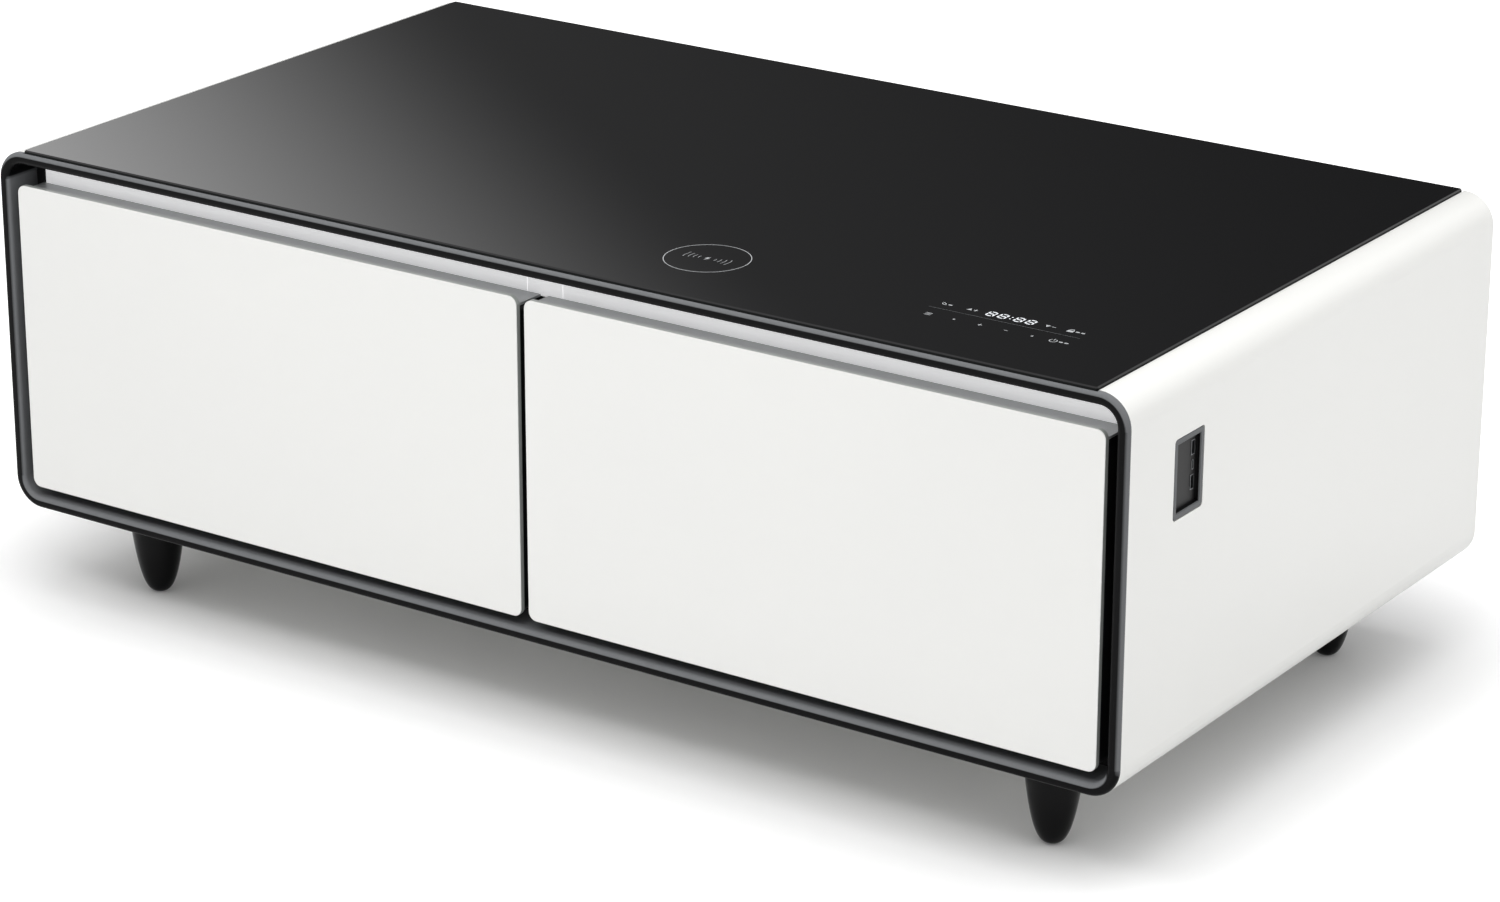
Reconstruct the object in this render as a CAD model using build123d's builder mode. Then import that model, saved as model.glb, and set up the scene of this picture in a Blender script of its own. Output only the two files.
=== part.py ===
from build123d import *
from math import cos, radians, sin
import os

os.makedirs("parts", exist_ok=True)

# A low table with two refrigerated drawers under a glass top.
# X runs to the right, Y to the back and Z up, from the middle of the floor under it.
# All sizes are in millimetres.

# Cabinet wrap
width = 1300
depth = 705
body_height = 378
foot_height = 99
corner_radius = 31
sheet = 1.5
lip_width = 24
return_width = 15
clearance = 0.3

# Glass top and what carries it
glass_thick = 5
glass_proud = 3
glass_side_inset = 33.3
glass_front_inset = 2.6
glass_back_inset = 3.6
glass_corner = 2.5
glass_bevel = 0.5
tape_thick = 1
tape_width = 20
deck_sheet = 1.5

# Front bezel and the frame behind it
bezel_width = 12.3
bezel_depth = 5
bezel_round = 4.4
skirt_wall = 2
fascia_setback = 41
fascia_thick = 1.5
fascia_height = 30
fascia_top_gap = 1.2
fascia_end_gap = 13.4
fascia_centre_width = 41
fascia_seam = 0.4
frame_thick = 3

# Drawer fronts
panel_setback = 1.8
panel_thick = 5.5
panel_corner = 9
panel_round = 0.8
side_gap = 10.9
bottom_gap = 10.5
finger_gap = 22.1
centre_gap = 8.6

# Doors behind the fronts
door_inset = 1.5
door_depth = 29.7
door_wall = 2.5
ledge_drop = 7.1
ledge_thick = 2.5
ledge_end_gap = 0.5
ledge_upstand = 5
ledge_web = 1.5
ledge_slack = 0.5
gasket_width = 12
gasket_overlap = 3
gasket_corner = 10
gasket_round = 2

# Cold bays
bay_side_gap = 36.25
bay_base_gap = 46
bay_top_gap = 64
bay_corner = 6
liner_wall = 2
rear_insulation = 38
machine_depth = 177.3
bulkhead_sheet = 1
evaporator_side_gap = 35
evaporator_height = 200
evaporator_plate = 1.5
evaporator_channel = 3
channel_count = 5
channel_end_gap = 20
channel_width = 9
led_end_gap = 75
led_width = 10
led_thick = 4
led_setback = 30

# Drawer tubs and runners
tub_height = 215
tub_lift = 6
tub_wall = 2.5
tub_corner = 12
tub_base_round = 5
tub_back_gap = 20
rim_width = 8
runner_depth = 12.6
runner_sheet = 1.4
runner_slack = 0.4
runner_half = 22.5
runner_lift = 95
runner_setback = 2.5
runner_back_gap = 12.5
outer_reach = 9
middle_reach = 10
screw_radius = 2
screw_head_radius = 4.5
screw_head = 2.5
screw_length = 12
screw_slack = 0.2
boss_radius = 6
boss_cap = 1.5

# Feet
foot_inset_x = 114
foot_inset_y = 85.5
foot_tip_radius = 6
foot_low_radius = 15.3
foot_mid_radius = 22.6
foot_top_radius = 28.5
foot_low_share = 0.15
foot_mid_share = 0.4
stud_radius = 4
stud_depth = 35
stud_slack = 0.1
plate_size = 76
plate_thick = 3
nut_radius = 9
nut_height = 8

# Socket panel in the right side
socket_inset_y = 109.35
socket_lift = 276.8
socket_width = 52.7
socket_height = 76.4
socket_corner = 4
socket_border = 6.3
socket_slack = 0.15
socket_face = 3
socket_bevel = 1
pan_depth = 1.6
pan_wall = 2
socket_box_depth = 20
port_shift = 13.5
port_lift = 3.3
port_pitch = 16.3
port_width = 6.4
port_height = 14
port_wall = 0.6
port_depth = 14
port_proud = 0.6
tongue_thick = 1.6
tongue_depth = 9
small_port_width = 3.4
small_port_height = 9.4

# Charging coil and touch controls under the glass
charger_x = 140
charger_inset_y = 105
charger_radius = 48
charger_depth = 6
charger_wall = 2
coil_inner_radius = 14
coil_outer_radius = 41
coil_thick = 3
touch_inset_x = 156.2
touch_inset_y = 102.25
touch_length = 172
touch_width = 54
board_thick = 1.6
board_drop = 5
display_length = 56
display_width = 15
touch_columns = 6
touch_pitch = 27
touch_pad_radius = 4
touch_row_offset = 15.75

# Back panel with its vents, screws and power inlet
rear_setback = 5
back_sheet = 1.2
vent_length = 44
vent_width = 5
vent_pitch_x = 54
vent_pitch_z = 11
vent_columns = 7
vent_rows = 12
vent_offset = 240
back_screw_radius = 4
back_screw_shank = 1.9
back_screw_slack = 0.15
back_screw_head = 2
back_screw_length = 8
back_screw_columns = 4
back_screw_inset = 50
inlet_inset_x = 90
inlet_width = 31
inlet_height = 24
inlet_wall = 2
inlet_depth = 22
inlet_recess = 16
inlet_flange = 5
inlet_flange_thick = 2
inlet_pin_radius = 1.6
inlet_pin_pitch = 7
inlet_pin_length = 12
inlet_pin_drop = 4

# Compressor on its rubber mounts
base_width = 200
base_length = 116
base_thick = 2
grommet_radius = 10
grommet_height = 14
grommet_inset = 18
bracket_thick = 3
compressor_gap = 18
compressor_radius = 60
compressor_height = 165
compressor_dome = 40
compressor_foot_round = 20
compressor_seam = 3
terminal_width = 30
terminal_reach = 16
terminal_height = 40
stub_rise = 14
discharge_offset = -20
suction_offset = 25

# Fan: its axis runs across the table, from the condenser to the compressor
fan_gap = 90
fan_radius = 62
fan_hub_radius = 19
fan_hub_depth = 17
fan_tip_gap = 3
fan_blades = 5
blade_chord = 28
blade_thick = 2
blade_pitch = 32
shroud_size = 150
shroud_height = 165
shroud_thick = 26
motor_radius = 20
motor_length = 30
motor_slack = 0.1
motor_gap = 1.5
shaft_radius = 2
shaft_slack = 0.05
shaft_grip = 12
spider_width = 6
spider_thick = 4
spider_ring = 3

# Condenser, drier and pipes
condenser_depth = 100
condenser_height = 150
condenser_gap = 40
condenser_fins = 24
fin_thick = 0.8
fin_tube_columns = 2
fin_tube_rows = 4
fin_tube_reach = 6
pipe_radius = 4
pipe_bend = 12
pipe_rise = 22
pipe_drop_gap = 17
suction_rise = 42
drier_radius = 9
drier_length = 90
drier_bevel = 5
drier_gap = 30

# Control box and its wiring
control_inlet_gap = 65
control_drier_gap = 66
control_width = 210
control_length = 110
control_height = 60
control_wall = 2.5
control_corner = 8
wire_radius = 3
wire_bend = 15
fan_wire_x = 60
fan_wire_drop = 21
compressor_wire_x = 40
wire_spacing = 12

# Levels up from the floor
base_z = foot_height
top_z = base_z + body_height
middle_z = base_z + body_height / 2
glass_top_z = top_z + glass_proud
glass_base_z = glass_top_z - glass_thick
deck_top_z = glass_base_z - tape_thick
deck_base_z = deck_top_z - deck_sheet
flange_base_z = deck_base_z - sheet
floor_z = base_z + sheet
charger_base_z = glass_base_z - charger_depth
board_top_z = glass_base_z - board_drop
board_base_z = board_top_z - board_thick

panel_base_z = base_z + bezel_width + bottom_gap
panel_height = body_height - 2 * bezel_width - bottom_gap - finger_gap
panel_top_z = panel_base_z + panel_height
ledge_top_z = panel_top_z - ledge_drop
door_top_z = ledge_top_z - ledge_thick
door_base_z = panel_base_z + door_inset
fascia_top_z = top_z - bezel_width - fascia_top_gap
bay_base_z = base_z + bay_base_gap
bay_top_z = top_z - bay_top_gap
bay_height = bay_top_z - bay_base_z
bay_middle_z = bay_base_z + bay_height / 2
tub_base_z = bay_base_z + tub_lift
runner_z = bay_base_z + runner_lift
socket_z = base_z + socket_lift
inlet_z = floor_z + control_height / 2
fan_z = floor_z + shroud_height / 2
bracket_z = floor_z + base_thick + grommet_height
compressor_base_z = bracket_z + bracket_thick
stub_top_z = compressor_base_z + compressor_height + stub_rise
fin_tube_pitch_z = condenser_height / fin_tube_rows
fin_tube_low_z = floor_z + fin_tube_pitch_z / 2
fin_tube_high_z = floor_z + condenser_height - fin_tube_pitch_z / 2
control_top_z = floor_z + control_height
wire_z = stub_top_z + suction_rise + wire_radius

# Stations from front to back
front = -depth / 2
back = depth / 2
bar_back = front + bezel_depth
panel_front = front + panel_setback
panel_back = panel_front + panel_thick
door_back = panel_back + door_depth
fascia_front = front + fascia_setback
frame_front = fascia_front + fascia_thick
frame_back = frame_front + frame_thick
back_panel_back = back - rear_setback
back_panel_front = back_panel_back - back_sheet
bulkhead_back = back_panel_front - machine_depth
foam_back = bulkhead_back - bulkhead_sheet
liner_back = foam_back - rear_insulation
bay_back = liner_back - liner_wall
bay_depth = bay_back - frame_back
runner_front = frame_back + runner_setback
tub_back = bay_back - tub_back_gap
runner_back = bay_back - runner_back_gap
runner_length = runner_back - runner_front
glass_front = front + glass_front_inset
glass_back = back - glass_back_inset
deck_front = bar_back + clearance
deck_back = back_panel_back
ledge_back = fascia_front - ledge_slack
socket_y = front + socket_inset_y
charger_y = front + charger_inset_y
touch_y = front + touch_inset_y
machine_y = (bulkhead_back + back_panel_front) / 2
fin_tube_pitch_y = condenser_depth / fin_tube_columns
fin_tube_y = machine_y + fin_tube_pitch_y / 2

# Stations from the middle outwards
glass_x = width / 2 - glass_side_inset
deck_x = glass_x
lip_x = glass_x + clearance
flange_x = lip_x - lip_width
panel_width = (width - 2 * (bezel_width + side_gap) - centre_gap) / 2
bay_x = (centre_gap + panel_width) / 2
bay_width = panel_width - 2 * bay_side_gap
evaporator_width = bay_width - 2 * evaporator_side_gap
channel_length = evaporator_width - 2 * channel_end_gap
led_length = bay_width - 2 * led_end_gap
tub_width = bay_width - 2 * runner_depth
reveal_width = width - 2 * bezel_width
reveal_height = body_height - 2 * bezel_width
reveal_radius = corner_radius - bezel_width
door_core_corner = panel_corner - door_wall
foot_x = width / 2 - foot_inset_x
foot_y = depth / 2 - foot_inset_y
foot_spots = [(x, y) for x in (-foot_x, foot_x) for y in (-foot_y, foot_y)]
touch_x = glass_x - touch_inset_x
compressor_x = foot_x - plate_size / 2 - compressor_gap - base_width / 2
fan_x = compressor_x - base_width / 2 - fan_gap
inlet_x = inlet_inset_x - width / 2
control_x = inlet_x + control_inlet_gap + control_width / 2
drier_right = control_x + control_width / 2 + control_drier_gap + drier_length
condenser_left = drier_right + drier_gap + fin_tube_reach
condenser_right = fan_x - shroud_thick / 2 - condenser_gap
condenser_length = condenser_right - condenser_left
screw_pitch = (width - 2 * back_screw_inset) / (back_screw_columns - 1)
screw_spots = [
    ((column - (back_screw_columns - 1) / 2) * screw_pitch, z)
    for column in range(back_screw_columns)
    for z in (floor_z + return_width / 2, flange_base_z - return_width / 2)
]
sides = (("left", -1), ("right", 1))


# The upright plane across the table at one station, with X right and Z up in it
def across(y):
    return Plane.XZ.offset(-y)


# The space inside the wrap, up to the deck, drawn in the open sketch
def inner_outline(shrink=0):
    half = width / 2 - sheet - shrink
    low = floor_z + shrink
    high = flange_base_z - shrink
    with Locations((0, (low + high) / 2)):
        RectangleRounded(2 * half, high - low, corner_radius - sheet - shrink)
    with Locations((0, (middle_z + deck_base_z - shrink) / 2)):
        Rectangle(2 * (flange_x - shrink), deck_base_z - shrink - middle_z)


# A round tube along straight runs joined by tangent bends
def bent_tube(radius, bend, *points):
    with BuildPart() as tube:
        with BuildLine():
            path = FilletPolyline(*points, radius=bend)
        with BuildSketch(path ^ 0):
            Circle(radius)
        sweep(path=path)
    return tube.part


# A C section beside a bay wall at wall, opening towards way, with its web near or far
def channel(wall, way, near, far, half, web_far):
    with Locations((wall + way * (near + far) / 2, runner_z)):
        Rectangle(far - near, 2 * half)
    inner = (near, far - runner_sheet) if web_far else (near + runner_sheet, far)
    with Locations((wall + way * sum(inner) / 2, runner_z)):
        Rectangle(inner[1] - inner[0], 2 * (half - runner_sheet), mode=Mode.SUBTRACT)


# Cabinet wrap: one bent sheet with a lip and flange along each side of the glass
with BuildPart() as outer_shell:
    with BuildSketch(across(back)):
        with Locations((0, middle_z)):
            RectangleRounded(width, body_height, corner_radius)
            RectangleRounded(
                width - 2 * sheet, body_height - 2 * sheet, corner_radius - sheet, mode=Mode.SUBTRACT
            )
        with Locations((0, top_z)):
            Rectangle(2 * lip_x, 4 * sheet, mode=Mode.SUBTRACT)
        for way in (-1, 1):
            with Locations((way * (lip_x + sheet / 2), (top_z + flange_base_z) / 2)):
                Rectangle(sheet, top_z - flange_base_z)
            with Locations((way * (lip_x + sheet + flange_x) / 2, flange_base_z + sheet / 2)):
                Rectangle(lip_x + sheet - flange_x, sheet)
    extrude(amount=depth - bezel_depth)
    with BuildSketch(across(back_panel_front)):
        inner_outline()
        with Locations((0, (floor_z + flange_base_z) / 2)):
            RectangleRounded(
                width - 2 * (sheet + return_width),
                flange_base_z - floor_z - 2 * return_width,
                corner_radius - return_width,
                mode=Mode.SUBTRACT,
            )
    extrude(amount=sheet)
    with BuildSketch(across(back_panel_front)):
        with Locations(*screw_spots):
            Circle(back_screw_shank + back_screw_slack)
    extrude(amount=sheet, mode=Mode.SUBTRACT)
    with BuildSketch(Plane.XY.offset(base_z)):
        with Locations(*foot_spots):
            Circle(stud_radius + clearance)
    extrude(amount=sheet, mode=Mode.SUBTRACT)
    with BuildSketch(Plane.YZ.offset(width / 2)):
        with Locations((socket_y, socket_z)):
            RectangleRounded(socket_width, socket_height, socket_corner)
    extrude(amount=-sheet, mode=Mode.SUBTRACT)
outer_shell.part.label = "outer_shell"
export_step(outer_shell.part, "parts/outer_shell.step")

# Steel deck under the glass, with openings for the charging tray and the touch board
with BuildPart() as top_deck:
    with BuildSketch(Plane.XY.offset(deck_base_z)):
        with Locations((0, (deck_front + deck_back) / 2)):
            Rectangle(2 * deck_x, deck_back - deck_front)
        with Locations((charger_x, charger_y)):
            Circle(charger_radius + clearance, mode=Mode.SUBTRACT)
        with Locations((touch_x, touch_y)):
            Rectangle(touch_length + 2 * clearance, touch_width + 2 * clearance, mode=Mode.SUBTRACT)
    extrude(amount=deck_sheet)
top_deck.part.label = "top_deck"
export_step(top_deck.part, "parts/top_deck.step")

# Bonding tape round the edge of the deck
with BuildPart() as glass_bonding_tape:
    with BuildSketch(Plane.XY.offset(deck_top_z)):
        with Locations((0, (deck_front + deck_back) / 2)):
            Rectangle(2 * deck_x, deck_back - deck_front)
            Rectangle(
                2 * (deck_x - tape_width), deck_back - deck_front - 2 * tape_width, mode=Mode.SUBTRACT
            )
    extrude(amount=tape_thick)
glass_bonding_tape.part.label = "glass_bonding_tape"
export_step(glass_bonding_tape.part, "parts/glass_bonding_tape.step")

# Toughened glass top
with BuildPart() as glass_top:
    with BuildSketch(Plane.XY.offset(glass_base_z)):
        with Locations((0, (glass_front + glass_back) / 2)):
            RectangleRounded(2 * glass_x, glass_back - glass_front, glass_corner)
    extrude(amount=glass_thick)
    chamfer(glass_top.faces().sort_by(Axis.Z)[-1].edges(), glass_bevel)
glass_top.part.label = "glass_top"
export_step(glass_top.part, "parts/glass_top.step")

# Front bezel: a half-round bar with a thin skirt running back to the front frame
with BuildPart() as front_bezel:
    with BuildSketch(across(bar_back)):
        with Locations((0, middle_z)):
            RectangleRounded(width, body_height, corner_radius)
            RectangleRounded(reveal_width, reveal_height, reveal_radius, mode=Mode.SUBTRACT)
    extrude(amount=bezel_depth)
    fillet(front_bezel.faces().sort_by(Axis.Y)[0].edges(), bezel_round)
    with BuildSketch(across(frame_front)):
        with Locations((0, middle_z)):
            RectangleRounded(
                reveal_width + 2 * skirt_wall, reveal_height + 2 * skirt_wall, reveal_radius + skirt_wall
            )
            RectangleRounded(reveal_width, reveal_height, reveal_radius, mode=Mode.SUBTRACT)
    extrude(amount=frame_front - bar_back)
    with BuildSketch(Plane.XY.offset(glass_base_z - clearance)):
        with Locations((0, glass_front - clearance + bezel_depth)):
            Rectangle(2 * (glass_x + clearance), 2 * bezel_depth)
    extrude(amount=glass_thick, mode=Mode.SUBTRACT)
front_bezel.part.label = "front_bezel"
export_step(front_bezel.part, "parts/front_bezel.step")

# Front frame: the rim of both cold bays, where the gaskets seal
with BuildPart() as front_frame:
    with BuildSketch(across(frame_back)):
        inner_outline()
        with Locations((-bay_x, bay_middle_z), (bay_x, bay_middle_z)):
            RectangleRounded(bay_width, bay_height, bay_corner, mode=Mode.SUBTRACT)
    extrude(amount=frame_thick)
front_frame.part.label = "front_frame"
export_step(front_frame.part, "parts/front_frame.step")


# One length of the bright strip above the drawers
def fascia(start, end):
    with BuildPart() as strip:
        with BuildSketch(across(frame_front)):
            with Locations(((start + end) / 2, fascia_top_z - fascia_height / 2)):
                Rectangle(end - start, fascia_height)
        extrude(amount=fascia_thick)
    return strip.part


fascia_x = width / 2 - bezel_width - fascia_end_gap
fascia_split = fascia_centre_width / 2 + fascia_seam
for name, start, end in (
    ("fascia_left", -fascia_x, -fascia_split),
    ("fascia_centre", -fascia_centre_width / 2, fascia_centre_width / 2),
    ("fascia_right", fascia_split, fascia_x),
):
    strip_part = fascia(start, end)
    strip_part.label = name
    export_step(strip_part, f"parts/{name}.step")

# Foam fill between the wrap and the bay liners
with BuildPart() as insulation_foam:
    with BuildSketch(across(foam_back)):
        inner_outline()
    extrude(amount=foam_back - frame_back)
    with BuildSketch(across(liner_back)):
        with Locations((-bay_x, bay_middle_z), (bay_x, bay_middle_z)):
            RectangleRounded(
                bay_width + 2 * liner_wall, bay_height + 2 * liner_wall, bay_corner + liner_wall
            )
    extrude(amount=liner_back - frame_back, mode=Mode.SUBTRACT)
    with BuildSketch(Plane.XY.offset(floor_z)):
        with Locations((-foot_x, -foot_y), (foot_x, -foot_y)):
            Rectangle(plate_size, plate_size)
    extrude(amount=plate_thick, mode=Mode.SUBTRACT)
    with BuildSketch(Plane.XY.offset(floor_z)):
        with Locations((-foot_x, -foot_y), (foot_x, -foot_y)):
            Circle(nut_radius + clearance)
    extrude(amount=plate_thick + nut_height + clearance, mode=Mode.SUBTRACT)
    with BuildSketch(Plane.XY.offset(deck_base_z)):
        with Locations((charger_x, charger_y)):
            Circle(charger_radius + clearance)
    extrude(amount=-(deck_base_z - charger_base_z), mode=Mode.SUBTRACT)
    with BuildSketch(Plane.XY.offset(deck_base_z)):
        with Locations((touch_x, touch_y)):
            Rectangle(touch_length + 2 * clearance, touch_width + 2 * clearance)
    extrude(amount=-(deck_base_z - board_base_z), mode=Mode.SUBTRACT)
    with BuildSketch(Plane.YZ.offset(width / 2)):
        with Locations((socket_y, socket_z)):
            Rectangle(socket_width, socket_height)
    extrude(amount=-(socket_face + socket_box_depth), mode=Mode.SUBTRACT)
insulation_foam.part.label = "insulation_foam"
export_step(insulation_foam.part, "parts/insulation_foam.step")

# Steel sheet that closes the foam off from the machine bay
with BuildPart() as machine_bulkhead:
    with BuildSketch(across(bulkhead_back)):
        inner_outline()
    extrude(amount=bulkhead_sheet)
machine_bulkhead.part.label = "machine_bulkhead"
export_step(machine_bulkhead.part, "parts/machine_bulkhead.step")

# Bay liners: moulded boxes open to the front
for side, way in sides:
    with BuildPart() as liner:
        with BuildSketch(across(liner_back)):
            with Locations((way * bay_x, bay_middle_z)):
                RectangleRounded(
                    bay_width + 2 * liner_wall, bay_height + 2 * liner_wall, bay_corner + liner_wall
                )
        extrude(amount=liner_back - frame_back)
        with BuildSketch(across(bay_back)):
            with Locations((way * bay_x, bay_middle_z)):
                RectangleRounded(bay_width, bay_height, bay_corner)
        extrude(amount=bay_depth, mode=Mode.SUBTRACT)
    liner.part.label = f"liner_{side}"
    export_step(liner.part, f"parts/liner_{side}.step")

# Evaporator plates on the back wall of each bay, with raised refrigerant channels
with BuildPart() as evaporator_plates:
    with BuildSketch(across(bay_back)):
        with Locations((-bay_x, bay_middle_z), (bay_x, bay_middle_z)):
            Rectangle(evaporator_width, evaporator_height)
    extrude(amount=evaporator_plate)
    with BuildSketch(across(bay_back - evaporator_plate)):
        with Locations((-bay_x, bay_middle_z), (bay_x, bay_middle_z)):
            with GridLocations(0, evaporator_height / channel_count, 1, channel_count):
                SlotOverall(channel_length, channel_width)
    extrude(amount=evaporator_channel)
evaporator_plates.part.label = "evaporator_plates"
export_step(evaporator_plates.part, "parts/evaporator_plates.step")

# Light strips on the ceiling of each bay
with BuildPart() as led_strips:
    with BuildSketch(Plane.XY.offset(bay_top_z - led_thick)):
        with Locations((-bay_x, frame_back + led_setback), (bay_x, frame_back + led_setback)):
            Rectangle(led_length, led_width)
    extrude(amount=led_thick)
led_strips.part.label = "led_strips"
export_step(led_strips.part, "parts/led_strips.step")

# Fixed runner members on the side walls of both bays
bay_walls = [(middle + way * bay_width / 2, -way) for middle in (-bay_x, bay_x) for way in (-1, 1)]
with BuildPart() as runner_outers:
    with BuildSketch(across(runner_back)):
        for wall, way in bay_walls:
            channel(wall, way, 0, outer_reach, runner_half, web_far=False)
    extrude(amount=runner_length)
runner_outers.part.label = "runner_outers"
export_step(runner_outers.part, "parts/runner_outers.step")

# Runner members that move: the middle pair, and the inner pair on each tub
middle_near = runner_sheet + runner_slack
middle_half = runner_half - runner_sheet - runner_slack
inner_near = middle_near + runner_sheet + runner_slack
inner_half = middle_half - runner_sheet - runner_slack
for side, way in sides:
    with BuildPart() as runner_middle:
        with BuildSketch(across(runner_back)):
            for face in (-1, 1):
                wall = way * bay_x + face * bay_width / 2
                channel(wall, -face, middle_near, middle_reach, middle_half, web_far=False)
        extrude(amount=runner_length)
    runner_middle.part.label = f"runner_middle_{side}"
    export_step(runner_middle.part, f"parts/runner_middle_{side}.step")

    with BuildPart() as runner_inner:
        with BuildSketch(across(tub_back)):
            for face in (-1, 1):
                wall = way * bay_x + face * bay_width / 2
                channel(wall, -face, inner_near, runner_depth, inner_half, web_far=True)
        extrude(amount=tub_back - runner_front)
    runner_inner.part.label = f"runner_inner_{side}"
    export_step(runner_inner.part, f"parts/runner_inner_{side}.step")

# Drawers: a glass front on a foamed door, a ledge to pull it by, and the tub behind
door_width = panel_width - 2 * door_inset
door_height = door_top_z - door_base_z
door_z = (door_top_z + door_base_z) / 2
tub_length = tub_back - door_back
screw_reach = screw_length - tub_wall
boss_depth = screw_reach - door_wall + boss_cap
for side, way in sides:
    drawer_x = way * bay_x
    fixing_spots = [
        (drawer_x + x, tub_base_z + z)
        for x in (-tub_width / 4, tub_width / 4)
        for z in (tub_height / 4, 3 * tub_height / 4)
    ]

    with BuildPart() as front_panel:
        with BuildSketch(across(panel_back)):
            with Locations((drawer_x, panel_base_z + panel_height / 2)):
                RectangleRounded(panel_width, panel_height, panel_corner)
        extrude(amount=panel_thick)
        fillet(front_panel.faces().sort_by(Axis.Y)[0].edges(), panel_round)
    front_panel.part.label = f"front_panel_{side}"
    export_step(front_panel.part, f"parts/front_panel_{side}.step")

    with BuildPart() as door_shell:
        with BuildSketch(across(door_back)):
            with Locations((drawer_x, door_z)):
                RectangleRounded(door_width, door_height, panel_corner)
        extrude(amount=door_depth)
        with BuildSketch(across(door_back - door_wall)):
            with Locations((drawer_x, door_z)):
                RectangleRounded(door_width - 2 * door_wall, door_height - 2 * door_wall, door_core_corner)
        extrude(amount=door_depth - door_wall, mode=Mode.SUBTRACT)
        with BuildSketch(across(door_back - door_wall)):
            with Locations(*fixing_spots):
                Circle(boss_radius)
        extrude(amount=boss_depth)
        with BuildSketch(across(door_back)):
            with Locations(*fixing_spots):
                Circle(screw_radius + screw_slack)
        extrude(amount=screw_reach + clearance, mode=Mode.SUBTRACT)
    door_shell.part.label = f"door_shell_{side}"
    export_step(door_shell.part, f"parts/door_shell_{side}.step")

    with BuildPart() as door_foam:
        with BuildSketch(across(door_back - door_wall)):
            with Locations((drawer_x, door_z)):
                RectangleRounded(door_width - 2 * door_wall, door_height - 2 * door_wall, door_core_corner)
        extrude(amount=door_depth - door_wall)
        with BuildSketch(across(door_back - door_wall)):
            with Locations(*fixing_spots):
                Circle(boss_radius)
        extrude(amount=boss_depth, mode=Mode.SUBTRACT)
    door_foam.part.label = f"door_foam_{side}"
    export_step(door_foam.part, f"parts/door_foam_{side}.step")

    with BuildPart() as handle:
        with BuildSketch(Plane.XY.offset(door_top_z)):
            with Locations((drawer_x, (panel_back + ledge_back) / 2)):
                Rectangle(panel_width - 2 * ledge_end_gap, ledge_back - panel_back)
        extrude(amount=ledge_thick)
        with BuildSketch(Plane.XY.offset(ledge_top_z)):
            with Locations((drawer_x, panel_back + ledge_web / 2)):
                Rectangle(panel_width - 2 * panel_corner, ledge_web)
        extrude(amount=ledge_upstand)
    handle.part.label = f"pull_ledge_{side}"
    export_step(handle.part, f"parts/pull_ledge_{side}.step")

    with BuildPart() as gasket:
        with BuildSketch(across(frame_front - clearance)):
            with Locations((drawer_x, bay_middle_z)):
                RectangleRounded(
                    bay_width + 2 * (gasket_overlap + gasket_width),
                    bay_height + 2 * (gasket_overlap + gasket_width),
                    gasket_corner + gasket_width,
                )
                RectangleRounded(
                    bay_width + 2 * gasket_overlap,
                    bay_height + 2 * gasket_overlap,
                    gasket_corner,
                    mode=Mode.SUBTRACT,
                )
        extrude(amount=frame_front - clearance - door_back)
        fillet(gasket.faces().sort_by(Axis.Y)[-1].edges(), gasket_round)
    gasket.part.label = f"gasket_{side}"
    export_step(gasket.part, f"parts/gasket_{side}.step")

    with BuildPart() as tub:
        with BuildSketch(Plane.XY.offset(tub_base_z)):
            with Locations((drawer_x, (door_back + tub_back) / 2)):
                RectangleRounded(tub_width, tub_length, tub_corner)
        extrude(amount=tub_height)
        fillet(tub.faces().sort_by(Axis.Z)[0].edges(), tub_base_round)
        offset(amount=-tub_wall, openings=tub.faces().sort_by(Axis.Z)[-1])
        with BuildSketch(Plane.XY.offset(tub_base_z + tub_height - tub_wall)):
            with Locations((drawer_x, (door_back + tub_back + rim_width) / 2)):
                RectangleRounded(tub_width + 2 * rim_width, tub_length + rim_width, tub_corner)
            with Locations((drawer_x, (door_back + tub_back) / 2)):
                RectangleRounded(
                    tub_width - 2 * tub_wall,
                    tub_length - 2 * tub_wall,
                    tub_corner - tub_wall,
                    mode=Mode.SUBTRACT,
                )
        extrude(amount=tub_wall)
        with BuildSketch(across(door_back + tub_wall)):
            with Locations(*fixing_spots):
                Circle(screw_radius + screw_slack)
        extrude(amount=tub_wall, mode=Mode.SUBTRACT)
    tub.part.label = f"tub_{side}"
    export_step(tub.part, f"parts/tub_{side}.step")

    with BuildPart() as tub_screws:
        with BuildSketch(across(door_back + tub_wall + screw_head)):
            with Locations(*fixing_spots):
                Circle(screw_head_radius)
        extrude(amount=screw_head)
        with BuildSketch(across(door_back + tub_wall)):
            with Locations(*fixing_spots):
                Circle(screw_radius)
        extrude(amount=screw_length)
        fillet(tub_screws.faces().filter_by(Plane.XZ).group_by(Axis.Y)[-1].edges(), screw_head / 3)
    tub_screws.part.label = f"tub_screws_{side}"
    export_step(tub_screws.part, f"parts/tub_screws_{side}.step")

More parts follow.
